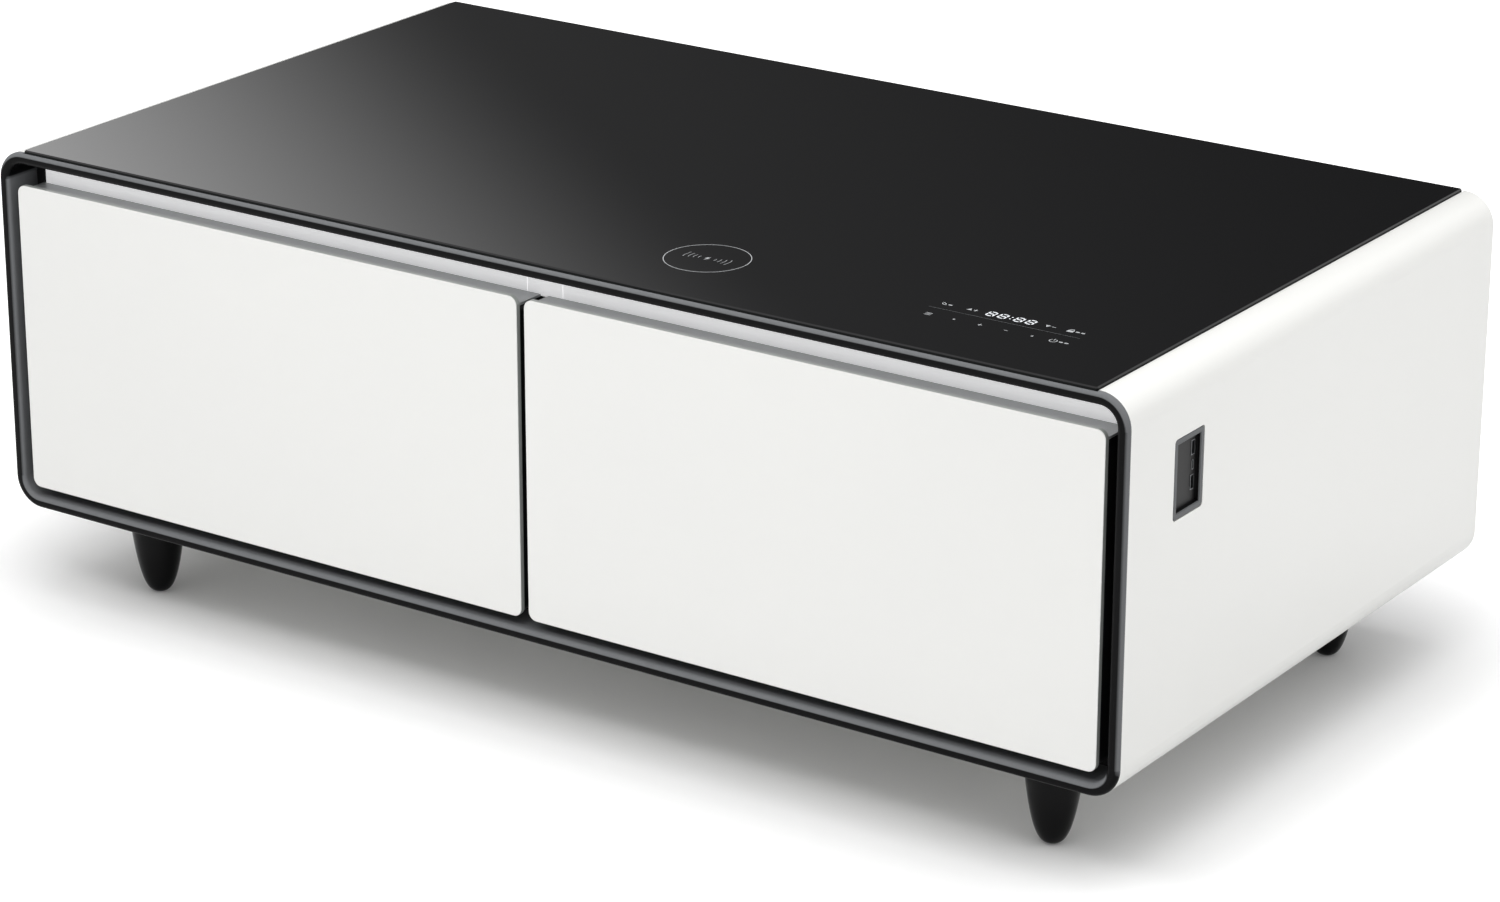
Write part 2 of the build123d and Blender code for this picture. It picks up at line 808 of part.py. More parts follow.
# Feet: turned tapers, each on a threaded stud through the wrap into a steel plate
for name, x, y in (
    ("foot_front_left", -foot_x, -foot_y),
    ("foot_front_right", foot_x, -foot_y),
    ("foot_rear_left", -foot_x, foot_y),
    ("foot_rear_right", foot_x, foot_y),
):
    with BuildPart() as foot:
        with BuildSketch(Plane(origin=(x, y, 0), x_dir=(1, 0, 0), z_dir=(0, -1, 0))):
            with BuildLine():
                tip = Line((0, 0), (foot_tip_radius, 0))
                flank = Spline(
                    tip @ 1,
                    (foot_low_radius, foot_height * foot_low_share),
                    (foot_mid_radius, foot_height * foot_mid_share),
                    (foot_top_radius, foot_height),
                )
                Polyline(flank @ 1, (0, foot_height), (0, 0))
            make_face()
        revolve(axis=Axis((x, y, 0), (0, 0, 1)))
        with BuildSketch(Plane.XY.offset(foot_height)):
            with Locations((x, y)):
                Circle(stud_radius + stud_slack)
        extrude(amount=-stud_depth, mode=Mode.SUBTRACT)
    foot.part.label = name
    export_step(foot.part, f"parts/{name}.step")

with BuildPart() as foot_studs:
    with BuildSketch(Plane.XY.offset(foot_height - stud_depth)):
        with Locations(*foot_spots):
            Circle(stud_radius)
    extrude(amount=stud_depth + sheet + plate_thick + nut_height)
foot_studs.part.label = "foot_studs"
export_step(foot_studs.part, "parts/foot_studs.step")

with BuildPart() as foot_plates:
    with BuildSketch(Plane.XY.offset(floor_z)):
        with Locations(*foot_spots):
            Rectangle(plate_size, plate_size)
    extrude(amount=plate_thick)
    with BuildSketch(Plane.XY.offset(floor_z + plate_thick)):
        with Locations(*foot_spots):
            RegularPolygon(nut_radius, 6)
    extrude(amount=nut_height)
    with BuildSketch(Plane.XY.offset(floor_z)):
        with Locations(*foot_spots):
            Circle(stud_radius + stud_slack)
    extrude(amount=plate_thick + nut_height, mode=Mode.SUBTRACT)
foot_plates.part.label = "foot_plates"
export_step(foot_plates.part, "parts/foot_plates.step")

# Socket panel: a bevelled frame flush with the wrap, and the box behind that holds the ports
port_y = socket_y + port_shift
port_z = socket_z + port_lift
pan_x = width / 2 - socket_face - pan_depth
with BuildPart() as socket_frame:
    with BuildSketch(Plane.YZ.offset(width / 2 - socket_face)):
        with Locations((socket_y, socket_z)):
            RectangleRounded(
                socket_width - 2 * socket_slack, socket_height - 2 * socket_slack, socket_corner
            )
            Rectangle(
                socket_width - 2 * socket_border, socket_height - 2 * socket_border, mode=Mode.SUBTRACT
            )
    extrude(amount=socket_face)
    chamfer(socket_frame.faces().sort_by(Axis.X)[-1].edges(), socket_bevel)
socket_frame.part.label = "socket_frame"
export_step(socket_frame.part, "parts/socket_frame.step")

with BuildPart() as socket_box:
    with BuildSketch(Plane.YZ.offset(width / 2 - socket_face)):
        with Locations((socket_y, socket_z)):
            Rectangle(socket_width - 2 * clearance, socket_height - 2 * clearance)
    extrude(amount=-socket_box_depth)
    with BuildSketch(Plane.YZ.offset(width / 2 - socket_face)):
        with Locations((socket_y, socket_z)):
            Rectangle(socket_width - 2 * socket_border, socket_height - 2 * socket_border)
    extrude(amount=-pan_depth, mode=Mode.SUBTRACT)
    with BuildSketch(Plane.YZ.offset(pan_x)):
        with Locations((port_y, port_z + port_pitch), (port_y, port_z - port_pitch)):
            Rectangle(port_width, port_height)
        with Locations((port_y, port_z)):
            SlotOverall(small_port_height, small_port_width, rotation=90)
    extrude(amount=-port_depth, mode=Mode.SUBTRACT)
socket_box.part.label = "socket_box"
export_step(socket_box.part, "parts/socket_box.step")

with BuildPart() as usb_ports:
    with BuildSketch(Plane.YZ.offset(pan_x - port_depth)):
        with Locations((port_y, port_z + port_pitch), (port_y, port_z - port_pitch)):
            Rectangle(port_width, port_height)
        with Locations((port_y, port_z)):
            SlotOverall(small_port_height, small_port_width, rotation=90)
    extrude(amount=port_depth + port_proud)
    with BuildSketch(Plane.YZ.offset(pan_x - port_depth + port_wall)):
        with Locations((port_y, port_z + port_pitch), (port_y, port_z - port_pitch)):
            Rectangle(port_width - 2 * port_wall, port_height - 2 * port_wall)
            Rectangle(tongue_thick, port_height - 4 * port_wall, mode=Mode.SUBTRACT)
        with Locations((port_y, port_z)):
            SlotOverall(
                small_port_height - 2 * port_wall, small_port_width - 2 * port_wall, rotation=90
            )
    extrude(amount=port_depth + port_proud, mode=Mode.SUBTRACT)
    with BuildSketch(Plane.YZ.offset(pan_x - port_depth + tongue_depth)):
        with Locations((port_y, port_z + port_pitch), (port_y, port_z - port_pitch)):
            Rectangle(port_width - 2 * port_wall, port_height - 2 * port_wall)
    extrude(amount=port_depth, mode=Mode.SUBTRACT)
usb_ports.part.label = "usb_ports"
export_step(usb_ports.part, "parts/usb_ports.step")

# Charging tray and coil against the underside of the glass
with BuildPart() as charging_tray:
    with BuildSketch(Plane.XY.offset(charger_base_z)):
        with Locations((charger_x, charger_y)):
            Circle(charger_radius)
    extrude(amount=charger_depth)
    with BuildSketch(Plane.XY.offset(charger_base_z + charger_wall)):
        with Locations((charger_x, charger_y)):
            Circle(charger_radius - charger_wall)
    extrude(amount=charger_depth, mode=Mode.SUBTRACT)
charging_tray.part.label = "charging_tray"
export_step(charging_tray.part, "parts/charging_tray.step")

with BuildPart() as charging_coil:
    with BuildSketch(Plane.XY.offset(charger_base_z + charger_wall)):
        with Locations((charger_x, charger_y)):
            Circle(coil_outer_radius)
            Circle(coil_inner_radius, mode=Mode.SUBTRACT)
    extrude(amount=coil_thick)
charging_coil.part.label = "charging_coil"
export_step(charging_coil.part, "parts/charging_coil.step")

# Touch board, its display block and one sensing post under each mark on the glass
with BuildPart() as touch_board:
    with BuildSketch(Plane.XY.offset(board_base_z)):
        with Locations((touch_x, touch_y)):
            Rectangle(touch_length, touch_width)
    extrude(amount=board_thick)
    with BuildSketch(Plane.XY.offset(board_top_z)):
        with Locations((touch_x, touch_y + touch_row_offset)):
            Rectangle(display_length, display_width)
        for column in range(touch_columns):
            column_x = touch_x + (column - (touch_columns - 1) / 2) * touch_pitch
            with Locations((column_x, touch_y - touch_row_offset)):
                Circle(touch_pad_radius)
            if abs(column_x - touch_x) > display_length / 2:
                with Locations((column_x, touch_y + touch_row_offset)):
                    Circle(touch_pad_radius)
    extrude(amount=board_drop)
touch_board.part.label = "touch_board"
export_step(touch_board.part, "parts/touch_board.step")

# Back panel with two fields of vent slots
with BuildPart() as back_panel:
    with BuildSketch(across(back_panel_back)):
        inner_outline(clearance)
        with Locations((-vent_offset, middle_z), (vent_offset, middle_z)):
            with GridLocations(vent_pitch_x, vent_pitch_z, vent_columns, vent_rows):
                SlotOverall(vent_length, vent_width, mode=Mode.SUBTRACT)
        with Locations(*screw_spots):
            Circle(back_screw_shank + back_screw_slack, mode=Mode.SUBTRACT)
        with Locations((inlet_x, inlet_z)):
            Rectangle(inlet_width + 2 * clearance, inlet_height + 2 * clearance, mode=Mode.SUBTRACT)
    extrude(amount=back_sheet)
back_panel.part.label = "back_panel"
export_step(back_panel.part, "parts/back_panel.step")

with BuildPart() as back_panel_screws:
    with BuildSketch(across(back_panel_back + back_screw_head)):
        with Locations(*screw_spots):
            Circle(back_screw_radius)
    extrude(amount=back_screw_head)
    fillet(back_panel_screws.faces().group_by(Axis.Y)[-1].edges(), back_screw_head / 2)
    with BuildSketch(across(back_panel_back)):
        with Locations(*screw_spots):
            Circle(back_screw_shank)
    extrude(amount=back_screw_length)
back_panel_screws.part.label = "back_panel_screws"
export_step(back_panel_screws.part, "parts/back_panel_screws.step")

# Power inlet: a shrouded socket with three pins, set in the back panel
with BuildPart() as power_inlet:
    with BuildSketch(across(back_panel_back + inlet_flange_thick)):
        with Locations((inlet_x, inlet_z)):
            RectangleRounded(
                inlet_width + 2 * inlet_flange, inlet_height + 2 * inlet_flange, inlet_flange - clearance
            )
    extrude(amount=inlet_flange_thick)
    with BuildSketch(across(back_panel_back)):
        with Locations((inlet_x, inlet_z)):
            Rectangle(inlet_width, inlet_height)
    extrude(amount=inlet_depth)
    with BuildSketch(across(back_panel_back + inlet_flange_thick)):
        with Locations((inlet_x, inlet_z)):
            Rectangle(inlet_width - 2 * inlet_wall, inlet_height - 2 * inlet_wall)
    extrude(amount=inlet_recess, mode=Mode.SUBTRACT)
    with BuildSketch(across(back_panel_back + inlet_flange_thick - inlet_recess)):
        with Locations((inlet_x, inlet_z - inlet_pin_drop)):
            with GridLocations(inlet_pin_pitch, 0, 3, 1):
                Circle(inlet_pin_radius)
    extrude(amount=-inlet_pin_length)
power_inlet.part.label = "power_inlet"
export_step(power_inlet.part, "parts/power_inlet.step")

# Compressor: base plate on the floor of the wrap, four rubber mounts, and the domed can
mount_spots = [
    (compressor_x + x * (base_width / 2 - grommet_inset), machine_y + y * (base_length / 2 - grommet_inset))
    for x in (-1, 1)
    for y in (-1, 1)
]
with BuildPart() as compressor_base:
    with BuildSketch(Plane.XY.offset(floor_z)):
        with Locations((compressor_x, machine_y)):
            Rectangle(base_width, base_length)
    extrude(amount=base_thick)
compressor_base.part.label = "compressor_base"
export_step(compressor_base.part, "parts/compressor_base.step")

with BuildPart() as compressor_grommets:
    with BuildSketch(Plane.XY.offset(floor_z + base_thick)):
        with Locations(*mount_spots):
            Circle(grommet_radius)
    extrude(amount=grommet_height)
compressor_grommets.part.label = "compressor_grommets"
export_step(compressor_grommets.part, "parts/compressor_grommets.step")

with BuildPart() as compressor:
    with BuildSketch(Plane.XY.offset(compressor_base_z)):
        with Locations((compressor_x, machine_y)):
            Circle(compressor_radius)
    extrude(amount=compressor_height)
    fillet(compressor.faces().sort_by(Axis.Z)[-1].edges(), compressor_dome)
    fillet(compressor.faces().sort_by(Axis.Z)[0].edges(), compressor_foot_round)
    with BuildSketch(Plane.XY.offset(compressor_base_z + compressor_height / 2)):
        with Locations((compressor_x, machine_y)):
            Circle(compressor_radius + compressor_seam)
    extrude(amount=compressor_seam)
    with BuildSketch(Plane.XY.offset(bracket_z)):
        with Locations((compressor_x, machine_y)):
            Rectangle(base_width, base_length)
    extrude(amount=bracket_thick)
    with BuildSketch(Plane.XY.offset(compressor_base_z + compressor_height / 2)):
        with Locations(
            (compressor_x + discharge_offset, fin_tube_y), (compressor_x + suction_offset, machine_y)
        ):
            Circle(pipe_radius)
    extrude(amount=compressor_height / 2 + stub_rise)
    with BuildSketch(Plane.YZ.offset(compressor_x)):
        with Locations((machine_y, compressor_base_z + terminal_height)):
            Rectangle(terminal_width, terminal_height)
    extrude(amount=-(compressor_radius + terminal_reach))
compressor.part.label = "compressor"
export_step(compressor.part, "parts/compressor.step")

# Fan shroud with the spider that carries the motor
spider_x = fan_x + shroud_thick / 2 - spider_thick
with BuildPart() as fan_shroud:
    with BuildSketch(Plane.YZ.offset(fan_x - shroud_thick / 2)):
        with Locations((machine_y, fan_z)):
            Rectangle(shroud_size, shroud_height)
            Circle(fan_radius + fan_tip_gap, mode=Mode.SUBTRACT)
    extrude(amount=shroud_thick)
    with BuildSketch(Plane.YZ.offset(spider_x)):
        with Locations((machine_y, fan_z)):
            Rectangle(2 * (fan_radius + 2 * fan_tip_gap), spider_width)
            Rectangle(spider_width, 2 * (fan_radius + 2 * fan_tip_gap))
            Circle(motor_radius + spider_ring)
            Circle(motor_radius + motor_slack, mode=Mode.SUBTRACT)
    extrude(amount=spider_thick)
fan_shroud.part.label = "fan_shroud"
export_step(fan_shroud.part, "parts/fan_shroud.step")

with BuildPart() as fan_motor:
    with BuildSketch(Plane.YZ.offset(spider_x)):
        with Locations((machine_y, fan_z)):
            Circle(motor_radius)
    extrude(amount=motor_length)
    with BuildSketch(Plane.YZ.offset(spider_x)):
        with Locations((machine_y, fan_z)):
            Circle(shaft_radius + shaft_slack)
    extrude(amount=shaft_grip + motor_gap, mode=Mode.SUBTRACT)
fan_motor.part.label = "fan_motor"
export_step(fan_motor.part, "parts/fan_motor.step")

# Fan rotor: hub, shaft and pitched blades
hub_right = spider_x - motor_gap
with BuildPart() as fan_rotor:
    with BuildSketch(Plane.YZ.offset(hub_right - fan_hub_depth)):
        with Locations((machine_y, fan_z)):
            Circle(fan_hub_radius)
    extrude(amount=fan_hub_depth)
    with BuildSketch(Plane.YZ.offset(hub_right)):
        with Locations((machine_y, fan_z)):
            Circle(shaft_radius)
    extrude(amount=motor_gap + shaft_grip)
    for blade in range(fan_blades):
        turn = radians(blade * 360 / fan_blades)
        pitch = radians(blade_pitch)
        outwards = (0, cos(turn), sin(turn))
        chord = (sin(pitch), -cos(pitch) * sin(turn), cos(pitch) * cos(turn))
        root = (hub_right - fan_hub_depth / 2, machine_y, fan_z)
        with BuildSketch(Plane(origin=root, x_dir=chord, z_dir=outwards)):
            Rectangle(blade_chord, blade_thick)
        extrude(amount=fan_radius)
fan_rotor.part.label = "fan_rotor"
export_step(fan_rotor.part, "parts/fan_rotor.step")

# Condenser: a stack of fins on straight tubes
with BuildPart() as condenser:
    for fin in range(condenser_fins):
        fin_x = condenser_left + fin * (condenser_length - fin_thick) / (condenser_fins - 1)
        with BuildSketch(Plane.YZ.offset(fin_x)):
            with Locations((machine_y, floor_z + condenser_height / 2)):
                Rectangle(condenser_depth, condenser_height)
        extrude(amount=fin_thick)
    with BuildSketch(Plane.YZ.offset(condenser_left - fin_tube_reach)):
        with Locations((machine_y, floor_z + condenser_height / 2)):
            with GridLocations(fin_tube_pitch_y, fin_tube_pitch_z, fin_tube_columns, fin_tube_rows):
                Circle(pipe_radius)
    extrude(amount=condenser_length + 2 * fin_tube_reach)
condenser.part.label = "condenser"
export_step(condenser.part, "parts/condenser.step")

# Filter drier in line with the condenser's lowest tube
with BuildPart() as filter_drier:
    with BuildSketch(Plane.YZ.offset(drier_right)):
        with Locations((fin_tube_y, fin_tube_low_z)):
            Circle(drier_radius)
    extrude(amount=-drier_length)
    chamfer(filter_drier.edges().filter_by(GeomType.CIRCLE), drier_bevel)
filter_drier.part.label = "filter_drier"
export_step(filter_drier.part, "parts/filter_drier.step")

# Refrigerant pipes: discharge, liquid and suction lines
discharge_x = compressor_x + discharge_offset
suction_x = compressor_x + suction_offset
tube_end_x = condenser_right + fin_tube_reach
drier_left = drier_right - drier_length
discharge_line = bent_tube(
    pipe_radius,
    pipe_bend,
    (discharge_x, fin_tube_y, stub_top_z),
    (discharge_x, fin_tube_y, stub_top_z + pipe_rise),
    (tube_end_x + pipe_drop_gap, fin_tube_y, stub_top_z + pipe_rise),
    (tube_end_x + pipe_drop_gap, fin_tube_y, fin_tube_high_z),
    (tube_end_x, fin_tube_y, fin_tube_high_z),
)
suction_line = bent_tube(
    pipe_radius,
    pipe_bend,
    (suction_x, bulkhead_back, stub_top_z + suction_rise),
    (suction_x, machine_y, stub_top_z + suction_rise),
    (suction_x, machine_y, stub_top_z),
)
liquid_line = bent_tube(
    pipe_radius,
    pipe_bend,
    (drier_left, fin_tube_y, fin_tube_low_z),
    (drier_left - drier_gap, fin_tube_y, fin_tube_low_z),
    (drier_left - drier_gap, bulkhead_back, fin_tube_low_z),
)
with BuildPart() as refrigerant_pipes:
    add([discharge_line, suction_line, liquid_line])
    with BuildSketch(Plane.YZ.offset(drier_right)):
        with Locations((fin_tube_y, fin_tube_low_z)):
            Circle(pipe_radius)
    extrude(amount=drier_gap)
refrigerant_pipes.part.label = "refrigerant_pipes"
export_step(refrigerant_pipes.part, "parts/refrigerant_pipes.step")

# Control box cover on the floor of the machine bay
with BuildPart() as control_box:
    with BuildSketch(Plane.XY.offset(floor_z)):
        with Locations((control_x, machine_y)):
            RectangleRounded(control_width, control_length, control_corner)
    extrude(amount=control_height)
    offset(amount=-control_wall, openings=control_box.faces().sort_by(Axis.Z)[0])
control_box.part.label = "control_box"
export_step(control_box.part, "parts/control_box.step")

# Wiring from the control box to the power inlet, the fan motor and the compressor
motor_end_x = spider_x + motor_length
terminal_x = compressor_x - compressor_radius - terminal_reach / 2
terminal_top_z = compressor_base_z + 3 * terminal_height / 2
inlet_wire = bent_tube(
    wire_radius,
    wire_bend,
    (inlet_x, back_panel_back - inlet_depth, inlet_z),
    (inlet_x, machine_y, inlet_z),
    (control_x - control_width / 2, machine_y, inlet_z),
)
fan_wire = bent_tube(
    wire_radius,
    wire_bend,
    (control_x + fan_wire_x, machine_y, control_top_z),
    (control_x + fan_wire_x, machine_y, wire_z),
    (motor_end_x + fan_wire_drop, machine_y, wire_z),
    (motor_end_x + fan_wire_drop, machine_y, fan_z),
    (motor_end_x, machine_y, fan_z),
)
compressor_wire = bent_tube(
    wire_radius,
    wire_bend,
    (control_x + compressor_wire_x, machine_y - wire_spacing, control_top_z),
    (control_x + compressor_wire_x, machine_y - wire_spacing, wire_z - wire_spacing),
    (terminal_x, machine_y - wire_spacing, wire_z - wire_spacing),
    (terminal_x, machine_y - wire_spacing, terminal_top_z),
)
with BuildPart() as wiring_harness:
    add([inlet_wire, fan_wire, compressor_wire])
wiring_harness.part.label = "wiring_harness"
export_step(wiring_harness.part, "parts/wiring_harness.step")
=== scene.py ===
import math

import bpy
import numpy as np
from mathutils import Matrix, Vector


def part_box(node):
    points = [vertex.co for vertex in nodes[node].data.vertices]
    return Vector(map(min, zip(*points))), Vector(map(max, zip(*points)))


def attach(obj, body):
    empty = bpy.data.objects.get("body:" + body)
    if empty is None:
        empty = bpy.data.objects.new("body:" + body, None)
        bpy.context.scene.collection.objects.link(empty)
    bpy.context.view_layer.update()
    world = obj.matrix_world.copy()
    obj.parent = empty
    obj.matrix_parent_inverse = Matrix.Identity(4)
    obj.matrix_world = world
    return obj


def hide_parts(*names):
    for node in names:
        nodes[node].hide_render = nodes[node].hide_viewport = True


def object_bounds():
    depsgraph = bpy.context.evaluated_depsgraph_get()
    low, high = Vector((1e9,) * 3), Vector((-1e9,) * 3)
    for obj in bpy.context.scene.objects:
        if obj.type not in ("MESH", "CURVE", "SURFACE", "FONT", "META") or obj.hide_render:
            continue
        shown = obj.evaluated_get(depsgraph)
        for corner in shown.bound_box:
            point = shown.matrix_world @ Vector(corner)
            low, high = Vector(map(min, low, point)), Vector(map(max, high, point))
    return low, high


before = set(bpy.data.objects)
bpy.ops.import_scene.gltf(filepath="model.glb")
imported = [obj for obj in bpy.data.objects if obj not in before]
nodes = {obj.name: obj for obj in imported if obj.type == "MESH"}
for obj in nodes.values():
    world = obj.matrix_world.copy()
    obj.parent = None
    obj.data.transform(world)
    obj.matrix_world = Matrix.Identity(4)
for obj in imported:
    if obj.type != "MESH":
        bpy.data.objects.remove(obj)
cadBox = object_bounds()
print("frame loaded:", len(nodes), "nodes")

mm = 0.001
sides = {"left": -1, "right": 1}
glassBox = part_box("glass_top")


# An sRGB hex colour as linear values with alpha
def linear(hexColour, alpha=1.0):
    digits = hexColour.lstrip("#")
    srgb = [int(digits[i:i + 2], 16) / 255 for i in (0, 2, 4)]
    return tuple(c / 12.92 if c <= 0.04045 else ((c + 0.055) / 1.055) ** 2.4 for c in srgb) + (alpha,)


# Adds one node: settings are its own properties or the values of its sockets, links feed its inputs
def addNode(tree, kind, settings=None, links=None):
    made = tree.nodes.new(kind)
    for key, value in (settings or {}).items():
        if isinstance(key, str) and hasattr(made, key) and key not in made.inputs:
            setattr(made, key, value)
        else:
            made.inputs[key].default_value = value
    feed(tree, made, links or {})
    return made


# Links outputs to the named inputs of one node
def feed(tree, node, links):
    for key, source in links.items():
        tree.links.new(source, node.inputs[key])


# The cleared node tree of a new material or of the world
def clearedTree(owner):
    owner.use_nodes = True
    owner.node_tree.nodes.clear()
    return owner.node_tree


# A new material with its shader and output; the shader's constant values come from settings
def newMaterial(name, settings):
    material = bpy.data.materials.new(name)
    tree = clearedTree(material)
    shader = addNode(tree, "ShaderNodeBsdfPrincipled", settings)
    addNode(tree, "ShaderNodeOutputMaterial", None, {"Surface": shader.outputs["BSDF"]})
    place = addNode(tree, "ShaderNodeTexCoord").outputs["Object"]
    return material, tree, shader, place


# Puts one material on a piece or a CAD node in place of all it had
def paint(piece, material):
    target = nodes[piece] if isinstance(piece, str) else piece
    target.data.materials.clear()
    target.data.materials.append(material)


# A mesh from vertices and faces given as arrays, riding on one body
def newPiece(name, vertices, faces, body, material, smooth=True):
    mesh = bpy.data.meshes.new(name)
    corners = [[int(corner) for corner in face] for face in faces]
    mesh.from_pydata(np.asarray(vertices, float).tolist(), [], corners)
    mesh.polygons.foreach_set("use_smooth", [smooth] * len(mesh.polygons))
    mesh.update()
    piece = bpy.data.objects.new(name, mesh)
    bpy.context.scene.collection.objects.link(piece)
    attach(piece, body)
    paint(piece, material)
    return piece


# Shades the last two faces flat, which are a piece's caps
def flatCaps(piece):
    for cap in piece.data.polygons[-2:]:
        cap.use_smooth = False


# Faces of a grid of rows by columns points; each direction may close on itself
def gridFaces(rows, columns, closeRows=False, closeColumns=False):
    r = np.arange(rows if closeRows else rows - 1)
    c = np.arange(columns if closeColumns else columns - 1)
    r, c = (a.ravel() for a in np.meshgrid(r, c, indexing="ij"))
    rNext, cNext = (r + 1) % rows, (c + 1) % columns
    return np.stack([r * columns + c, r * columns + cNext, rNext * columns + cNext, rNext * columns + c], 1)


# Points round a rectangle with round corners: straight sides joined by quarter turns
def roundedLoop(width, height, radius, perCorner=12):
    turn = np.linspace(0, math.pi / 2, perCorner)
    corners = [(1, 1, 0), (-1, 1, 1), (-1, -1, 2), (1, -1, 3)]
    loops = [
        np.stack([
            sx * (width / 2 - radius) + radius * np.cos(turn + quarter * math.pi / 2),
            sy * (height / 2 - radius) + radius * np.sin(turn + quarter * math.pi / 2),
        ], 1)
        for sx, sy, quarter in corners
    ]
    return np.concatenate(loops)


print("materials")


# Enamelled steel sheet: smooth white with the faint ripple of sprayed enamel
def enamelledSteel():
    material, tree, shader, place = newMaterial("enamelled steel", {
        "Roughness": 0.32, "Specular IOR Level": 0.45, "Coat Weight": 0.25, "Coat Roughness": 0.12,
    })
    cloud = addNode(tree, "ShaderNodeTexNoise", {"Scale": 1000 / 260, "Detail": 3.0}, {"Vector": place})
    tint = addNode(tree, "ShaderNodeMix", {"data_type": "RGBA", 6: linear("#f3f3f0"), 7: linear("#f0f0ed")},
                   {0: cloud.outputs["Fac"]})
    ripple = addNode(tree, "ShaderNodeTexNoise", {"Scale": 1000 / 3, "Detail": 2.0}, {"Vector": place})
    bump = addNode(tree, "ShaderNodeBump", {"Strength": 0.035, "Distance": 0.2 * mm},
                   {"Height": ripple.outputs["Fac"]})
    feed(tree, shader, {"Base Color": tint.outputs[2], "Normal": bump.outputs["Normal"]})
    return material


# White glass painted on its back: the face is flat and bright; the ground edge and the other faces not
# turned to the front are a darker greenish grey, the glass's own edge tint deepened with painted shade
def backPaintedGlass():
    material, tree, shader, place = newMaterial("back-painted white glass", {
        "Roughness": 0.3, "Specular IOR Level": 0.5, "Coat Weight": 0.35, "Coat Roughness": 0.08,
    })
    normal = addNode(tree, "ShaderNodeNewGeometry").outputs["Normal"]
    facing = addNode(tree, "ShaderNodeVectorMath", {"operation": "DOT_PRODUCT", 1: (0, -1, 0)}, {0: normal})
    # Painted shade: faces not turned to the front take the darker greenish grey
    shadedEdgeMask = addNode(tree, "ShaderNodeMapRange", {1: 0.1, 2: 0.35, 3: 0.0, 4: 1.0},
                   {0: facing.outputs["Value"]})
    cloud = addNode(tree, "ShaderNodeTexNoise", {"Scale": 1000 / 300, "Detail": 2.0}, {"Vector": place})
    paintTint = addNode(tree, "ShaderNodeMix",
                        {"data_type": "RGBA", 6: linear("#e9e9e6"), 7: linear("#e6e6e4")},
                        {0: cloud.outputs["Fac"]})
    tint = addNode(tree, "ShaderNodeMix", {"data_type": "RGBA", 6: linear("#a7aba8")},
                   {0: shadedEdgeMask.outputs["Result"], 7: paintTint.outputs[2]})
    haze = addNode(tree, "ShaderNodeTexNoise", {"Scale": 1000 / 40, "Detail": 4.0}, {"Vector": place})
    gloss = addNode(tree, "ShaderNodeMapRange", {3: 0.27, 4: 0.33}, {0: haze.outputs["Fac"]})
    feed(tree, shader, {"Base Color": tint.outputs[2], "Roughness": gloss.outputs["Result"]})
    return material


# Black toughened glass: a deep mirror with the slight haze of wiping and a few motes of dust
def blackGlass():
    material, tree, shader, place = newMaterial("black toughened glass", {"IOR": 1.5})
    wipe = addNode(tree, "ShaderNodeTexNoise", {"Scale": 1000 / 140, "Detail": 5.0, "Distortion": 0.8},
                   {"Vector": place})
    gloss = addNode(tree, "ShaderNodeMapRange", {1: 0.3, 2: 0.7, 3: 0.035, 4: 0.06},
                    {0: wipe.outputs["Fac"]})
    mote = addNode(tree, "ShaderNodeTexVoronoi", {"Scale": 1000 / 55, "Randomness": 1.0}, {"Vector": place})
    dust = addNode(tree, "ShaderNodeMapRange", {1: 0.007, 2: 0.011, 3: 1.0, 4: 0.0},
                   {0: mote.outputs["Distance"]})
    tint = addNode(tree, "ShaderNodeMix",
                   {"data_type": "RGBA", 6: linear("#08080a"), 7: linear("#3c3d40")},
                   {0: dust.outputs["Result"]})
    feed(tree, shader, {"Roughness": gloss.outputs["Result"], "Base Color": tint.outputs[2]})
    return material


# Moulded ABS: dark, satin, with the fine spark-eroded grain of the tool
def mouldedAbs(name, hexColour, roughness, grain=0.5, strength=0.12, specular=0.5):
    material, tree, shader, place = newMaterial(name, {
        "Specular IOR Level": specular,
    })
    speckle = addNode(tree, "ShaderNodeTexNoise", {"Scale": 1 / (grain * mm), "Detail": 2.0},
                      {"Vector": place})
    cloud = addNode(tree, "ShaderNodeTexNoise", {"Scale": 1000 / 60, "Detail": 3.0}, {"Vector": place})
    shade = addNode(tree, "ShaderNodeHueSaturation", {"Color": linear(hexColour)})
    value = addNode(tree, "ShaderNodeMapRange", {3: 0.92, 4: 1.08}, {0: cloud.outputs["Fac"]})
    gloss = addNode(tree, "ShaderNodeMapRange", {3: roughness - 0.05, 4: roughness + 0.05},
                    {0: speckle.outputs["Fac"]})
    bump = addNode(tree, "ShaderNodeBump", {"Strength": strength, "Distance": 0.1 * mm},
                   {"Height": speckle.outputs["Fac"]})
    tree.links.new(value.outputs["Result"], shade.inputs["Value"])
    feed(tree, shader, {
        "Base Color": shade.outputs["Color"],
        "Roughness": gloss.outputs["Result"],
        "Normal": bump.outputs["Normal"],
    })
    return material
